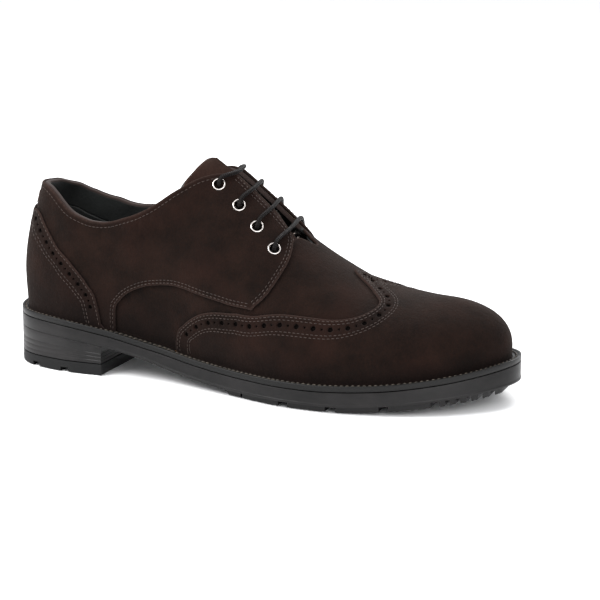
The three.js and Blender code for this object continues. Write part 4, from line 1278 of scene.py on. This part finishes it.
def stacked(rings, heights, top=None, bottom=None):
    """A solid from rings, the first on top. With no top and bottom it is a hoop."""
    count = len(rings[0])
    area = signed_area(rings[0])
    verts = [np.column_stack([r, h]) for r, h in zip(rings, heights)]
    faces = []
    levels = len(rings)
    for j in range(levels if top is None else levels - 1):
        a, b = j * count, ((j + 1) % levels) * count
        for i in range(count):
            k = (i + 1) % count
            quad = (a + i, b + i, b + k, a + k)
            faces.append(quad if area > 0 else quad[::-1])
    total = levels * count
    if top is not None:
        for level, height, up in ((0, top, True), (levels - 1, bottom, False)):
            grid, z, tris = fill(rings[level], height, up)
            verts.append(np.column_stack([grid, z]).reshape(-1, 3))
            lookup = np.concatenate([level * count + np.arange(count),
                                     total + np.arange(len(grid))])
            faces += lookup[tris].tolist()
            total += len(grid)
    return np.concatenate(verts), faces


def below(depth):
    return lambda x: feather_height(x) - depth


def foot_rings(levels):
    """Rings and heights from (distance, height function) pairs."""
    rings = [footline(d) for d, _ in levels]
    return rings, [h(r[:, 0]) for r, (_, h) in zip(rings, levels)]


# %% [markdown]
# The welt is a strip of rubber round the upper. Its top has a channel with the lockstitch in
# it, between the upper and a thin polished rim.

# %% The welt and its stitches
upper_edge = through([[0, 6.5], [0.222, 6.5], [0.232, 5.1], [0.24, 5.1], [0.25, 3.3],
                      [0.36, 3.3], [0.37, 5.0], [1, 5.0]])
beside_upper = upper_edge(np.abs(ring_u))
RIM_IN = WELT_MARGIN - 1.3
rings, heights = foot_rings([
    (beside_upper, below(5.0)), (beside_upper, below(2.4)), (RIM_IN - 0.2, below(2.4)),
    (RIM_IN, below(2.25)), (RIM_IN, below(1.85)), (RIM_IN + 0.12, below(1.66)),
    (RIM_IN + 0.4, below(1.6)), (WELT_MARGIN - 0.4, below(1.6)),
    (WELT_MARGIN - 0.1, below(1.72)), (WELT_MARGIN, below(2.0)), (WELT_MARGIN, below(4.5)),
    (WELT_MARGIN - 0.15, below(4.8)), (WELT_MARGIN - 0.5, below(5.0))])
points, faces = stacked(rings[::-1], heights[::-1])
# The welt's rubber is painted darker than the sole's as shade under the upper.
finished("welt", points, faces, welt_rubber, nodes=("welt",), smooth=50)
welt_thread = thread_of("welt_thread", (34, 30, 26), (84, 76, 66), 900, 2200, 0.4, (0.45, 0.65))
STITCH_DEPTH = 2.12
middle_of_channel = footline((beside_upper + RIM_IN) / 2 + 0.25)
closed_line = np.concatenate([middle_of_channel, middle_of_channel[:1]])
run = np.concatenate([[0], np.cumsum(np.linalg.norm(np.diff(closed_line, axis=0), axis=1))])
WELT_PITCH, WELT_STITCH, WELT_TWINE = 3.1, 2.7, 0.42
places = np.linspace(0, run[-1], int(run[-1] / WELT_PITCH) + 1)[:-1]
plan = np.stack([np.interp(places, run, closed_line[:, k]) for k in (0, 1)], axis=1)
centres = np.column_stack([plan, feather_height(plan[:, 0]) - STITCH_DEPTH])
along = np.roll(centres, -1, axis=0) - np.roll(centres, 1, axis=0)
slant = np.cross(np.array([0, 0, 1.0]), unit(along)) * 0.35
set_stitches("welt_stitching", centres, unit(along) + slant,
             np.tile([0, 0, 1.0], (len(centres), 1)), WELT_STITCH, WELT_TWINE, welt_thread)

# %% [markdown]
# The outsole is one moulding from heel to toe: a wall with a raised lip at its lower edge, and
# low lugs under the ball of the foot that end in a row of saw teeth at the toe. Each lug is
# its own small block with a bevelled edge, sunk into the sole.

# %% The outsole and its lugs
LIP = 0.28 * np.clip((footline(WELT_MARGIN)[:, 0] - 60) / 20, 0, 1)
rings, heights = foot_rings([
    (WELT_MARGIN - 0.5, below(5.3)), (WELT_MARGIN - 0.15, below(5.42)),
    (WELT_MARGIN, below(5.75)), (WELT_MARGIN, lambda x: sole_bottom(x) + 1.7),
    (WELT_MARGIN + LIP * 0.2, lambda x: sole_bottom(x) + 1.5),
    (WELT_MARGIN + LIP * 0.8, lambda x: sole_bottom(x) + 1.25),
    (WELT_MARGIN + LIP, lambda x: sole_bottom(x) + 1.0),
    (WELT_MARGIN + LIP, lambda x: sole_bottom(x) + 0.3),
    (WELT_MARGIN + LIP * 0.3, sole_bottom), (WELT_MARGIN - 1.0, sole_bottom)])
sole_points, sole_faces = stacked(rings, heights, below(5.3), sole_bottom)
LUG_DEPTH, LUG_LINE = 3.7, WELT_MARGIN - 2.6
LUG_ROWS = [[0.494, 0.525], [0.529, 0.613], [0.634, 0.711], [0.732, 0.813], [0.83, 0.904]]
TEETH, TEETH_FROM, TEETH_TO = 6, 0.918, 1.02


def edge_y(xs, side, distance):
    """Where the foot line at this distance stands on one side, for given x."""
    ring = footline(distance)
    mine = ring[(ring_u * side >= 0)]
    order = np.argsort(mine[:, 0])
    return np.interp(xs, mine[order, 0], mine[order, 1])


def shrunk(outline, amount):
    """An outline drawn in along its own normals."""
    ahead = unit(np.roll(outline, -1, axis=0) - outline)
    normal = np.stack([-ahead[:, 1], ahead[:, 0]], axis=1)
    before = np.roll(normal, 1, axis=0)
    mitre = normal + before
    return outline + mitre * (amount * 2 / np.maximum((mitre ** 2).sum(1), 0.8))[:, None]


def block(outline):
    if signed_area(outline) < 0:
        outline = outline[::-1]
    rings = [outline, outline, shrunk(outline, 0.45)]
    depth = [-0.6, LUG_DEPTH - 0.5, LUG_DEPTH]
    heights = [sole_bottom(r[:, 0]) - d for r, d in zip(rings, depth)]
    return stacked(rings, heights, lambda v: sole_bottom(v) + 0.6,
                   lambda v: sole_bottom(v) - LUG_DEPTH)


blocks = []
for start, end in LUG_ROWS:
    xs = np.linspace(along_x(start), along_x(end), 9)
    for side in (-1, 1):
        outer = np.stack([xs, edge_y(xs, side, LUG_LINE)], axis=1)
        blocks.append(np.concatenate([outer, [[xs[-1], side * 2.5], [xs[0], side * 2.5]]]))
pitch = (along_x(TEETH_TO) - along_x(TEETH_FROM)) / TEETH
for i in range(TEETH):
    xs = along_x(TEETH_FROM) + i * pitch + np.linspace(0, 0.6 * pitch, 4)
    left = np.stack([xs, edge_y(xs, -1, LUG_LINE)], axis=1)
    right = np.stack([xs, edge_y(xs, 1, LUG_LINE)], axis=1)
    blocks.append(np.concatenate([left, right[::-1]]))
for outline in blocks:
    points, faces = block(outline)
    sole_faces = sole_faces + [tuple(np.array(f) + len(sole_points)) for f in faces]
    sole_points = np.concatenate([sole_points, points])
finished("outsole", sole_points, sole_faces, wall_rubber, nodes=("outsole",),
         smooth=38)
print("lugs", len(blocks))

# %% [markdown]
# The heel is a block with fine moulded lines that suggest a stack of leather lifts, and a
# harder top lift below it that takes the wear. Small notches in the top lift let the heel
# grip.

# %% The heel block and top lift
BREAST = 67.0
TOP_LIFT = 6.7


def heel_ring(distance, breast):
    """The foot line at this distance round the heel, closed by the straight breast."""
    u = np.linspace(-0.32, 0.32, 801)
    line = feather_at(u) + feather_normal(u) * distance
    left, right = u < 0, u >= 0
    start = np.interp(-breast, -line[left][:, 0], u[left])
    end = np.interp(breast, line[right][:, 0], u[right])
    places = np.linspace(start, end, 120)
    ring = feather_at(places) + feather_normal(places) * distance
    ring[0, 0] = ring[-1, 0] = breast
    front = np.linspace(ring[-1], ring[0], 14)[1:-1]
    return np.concatenate([ring, front])


def heel_solid(levels):
    rings = [heel_ring(WELT_MARGIN - inset, BREAST - inset) for inset, _ in levels]
    heights = [h(r[:, 0]) for r, (_, h) in zip(rings, levels)]
    return stacked(rings, heights, levels[0][1], levels[-1][1])


def lift_height(share):
    """A height between the top and bottom of the heel block."""
    low = TOP_LIFT + GAP
    return lambda x: low + (sole_bottom(x) - GAP - low) * share


def cut_box(piece, name, x_run, half_height, width):
    """A slot across the piece, cut by a box that stands on the ground line."""
    x0, x1 = x_run
    bpy.ops.object.select_all(action="DESELECT")
    bpy.ops.mesh.primitive_cube_add(
        size=1, location=(((x0 + x1) / 2 + SHIFT[0]) * MM, SHIFT[1] * MM, 0),
        scale=((x1 - x0) * MM, width * MM, 2 * half_height * MM))
    cutter = bpy.context.object
    cut = piece.modifiers.new(name, "BOOLEAN")
    cut.object, cut.solver = cutter, "EXACT"
    bpy.context.view_layer.objects.active = piece
    bpy.ops.object.modifier_apply(modifier=cut.name)
    bpy.data.objects.remove(cutter)


levels = [(0.1, lift_height(1.0)), (0.0, lift_height(0.985))]
for line in (0.6, 0.4, 0.2):
    levels += [(0.0, lift_height(line + 0.03)), (0.18, lift_height(line + 0.01)),
               (0.18, lift_height(line - 0.01)), (0.0, lift_height(line - 0.03))]
levels += [(0.0, lift_height(0.025)), (0.4, lift_height(0.0))]
points, faces = heel_solid(levels)
# The heel's rubber is painted lighter than the wall's, as light from the left falls on it.
finished("heel_block", points, faces, lit_heel_rubber, nodes=("heel_block",),
         smooth=38)


def flat_height(z):
    return lambda x: np.full(np.shape(x), z)


points, faces = heel_solid([(0.45, flat_height(6.7)), (0.05, flat_height(6.45)),
                            (0.0, flat_height(6.1)), (0.0, flat_height(0.7)),
                            (0.2, flat_height(0.2)), (0.6, flat_height(0.0))])
# The top lift's rubber is painted darker as shade under the shoe.
lift = finished("heel_top_lift", points, faces, shaded_ground_rubber,
                nodes=("heel_top_lift",), smooth=38)
NOTCHES = ((0.03, 0.048), (0.105, 0.125))
NOTCH_DEPTH = 2.6
for notch in NOTCHES:
    cut_box(lift, "notch", [along_x(share) for share in notch], NOTCH_DEPTH, 200)
print("top lift", len(lift.data.polygons), "faces")

# %% [markdown]
# Inside lies the sock, a thin leather that the foot rests on. Below it the insole board and
# the steel shank keep their CAD shapes, with finishes of their own. The cork filler is built
# from rings like the sole, and ends inside the upper so that no cork shows beside the welt. A
# box cuts the slot that the shank lies in.

# %% The sock and the hidden bottom
rings, heights = foot_rings([(-2.0, below(-1.2)), (-1.5, below(-1.1)), (-1.3, below(-0.7)),
                             (-1.3, below(0.0))])
points, faces = stacked(rings, heights, below(-1.2), below(0.0))
finished("sock_liner", points, faces, sock_finish, nodes=("sock_liner",))
FILLER_TOP, FILLER_BOTTOM = 3.1, 5.0
inside_welt = np.minimum(beside_upper - 0.5, 2.4)
rings, heights = foot_rings([
    (inside_welt - 0.3, below(FILLER_TOP)), (inside_welt, below(FILLER_TOP + 0.2)),
    (inside_welt, below(FILLER_BOTTOM - 0.2)), (inside_welt - 0.3, below(FILLER_BOTTOM))])
points, faces = stacked(rings, heights, below(FILLER_TOP), below(FILLER_BOTTOM))
filler = finished("cork_filler", points, faces, cork_finish, nodes=("cork_filler",))
SHANK_RUN, SHANK_WIDTH = (0.13, 0.5), 14
slot_run = [along_x(SHANK_RUN[0]) - GAP, along_x(SHANK_RUN[1]) + GAP]
cut_box(filler, "shank_slot", slot_run, 50, SHANK_WIDTH + 2 * GAP)
for node, finish in (("insole_board", fibre_finish), ("shank", steel_finish)):
    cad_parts[node].data.materials.clear()
    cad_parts[node].data.materials.append(finish)

# %% [markdown]
# ## Stage
#
# A pale floor, an even pale sky and three large soft lamps, as in a product studio. The camera
# stands low on the outer side of the shoe, about a metre away. The plain view transform keeps
# white paper white and dark suede dark, where the usual one would grey them both.

# %% Floor, light and camera
bpy.ops.object.select_all(action="DESELECT")
bpy.ops.mesh.primitive_plane_add(size=8, location=(0, 0, -0.0002))
floor = bpy.context.object
floor.name = "floor"
paper = Finish("pale_paper", Roughness=0.7, Specular_IOR_Level=0.2)
paper.colour(paper.mix(paper.noise(3, 2), rgb(246, 246, 246), rgb(250, 250, 250)))
floor.data.materials.append(paper.material)
world = bpy.data.worlds.new("studio")
bpy.context.scene.world = world
world.use_nodes = True
world.node_tree.nodes["Background"].inputs["Color"].default_value = (0.97, 0.98, 1.0, 1)
world.node_tree.nodes["Background"].inputs["Strength"].default_value = 1.05
AIM = Vector((-0.00275, 0.00235, 0.045))


def lamp(name, place, size, watts):
    bpy.ops.object.light_add(type="AREA", location=AIM + Vector(place))
    made = bpy.context.object
    made.name = name
    made.data.size = size
    made.data.energy = watts
    made.rotation_euler = (-Vector(place)).to_track_quat("-Z", "Y").to_euler()
    return made


lamp("key", (-0.75, -0.75, 1.0), 0.8, 24)
lamp("fill", (0.9, -0.8, 0.6), 0.9, 7)
lamp("back", (0.2, 1.2, 1.2), 1.0, 22)
azimuth, elevation, distance = math.radians(23), math.radians(13.5), 1.1
back_way = Vector((math.sin(azimuth) * math.cos(elevation),
                   -math.cos(azimuth) * math.cos(elevation), math.sin(elevation)))
right_way = Vector((math.cos(azimuth), math.sin(azimuth), 0))
up_way = back_way.cross(right_way)
camera = bpy.data.objects.new("camera", bpy.data.cameras.new("camera"))
bpy.context.collection.objects.link(camera)
camera.matrix_world = Matrix.Translation(AIM + back_way * distance) @ Matrix(
    (right_way, up_way, back_way)).transposed().to_4x4()
camera.data.lens = 114.2
camera.data.sensor_width = 36
camera.data.shift_x = 0.0713
bpy.context.scene.camera = camera
bpy.context.scene.view_settings.view_transform = "Standard"
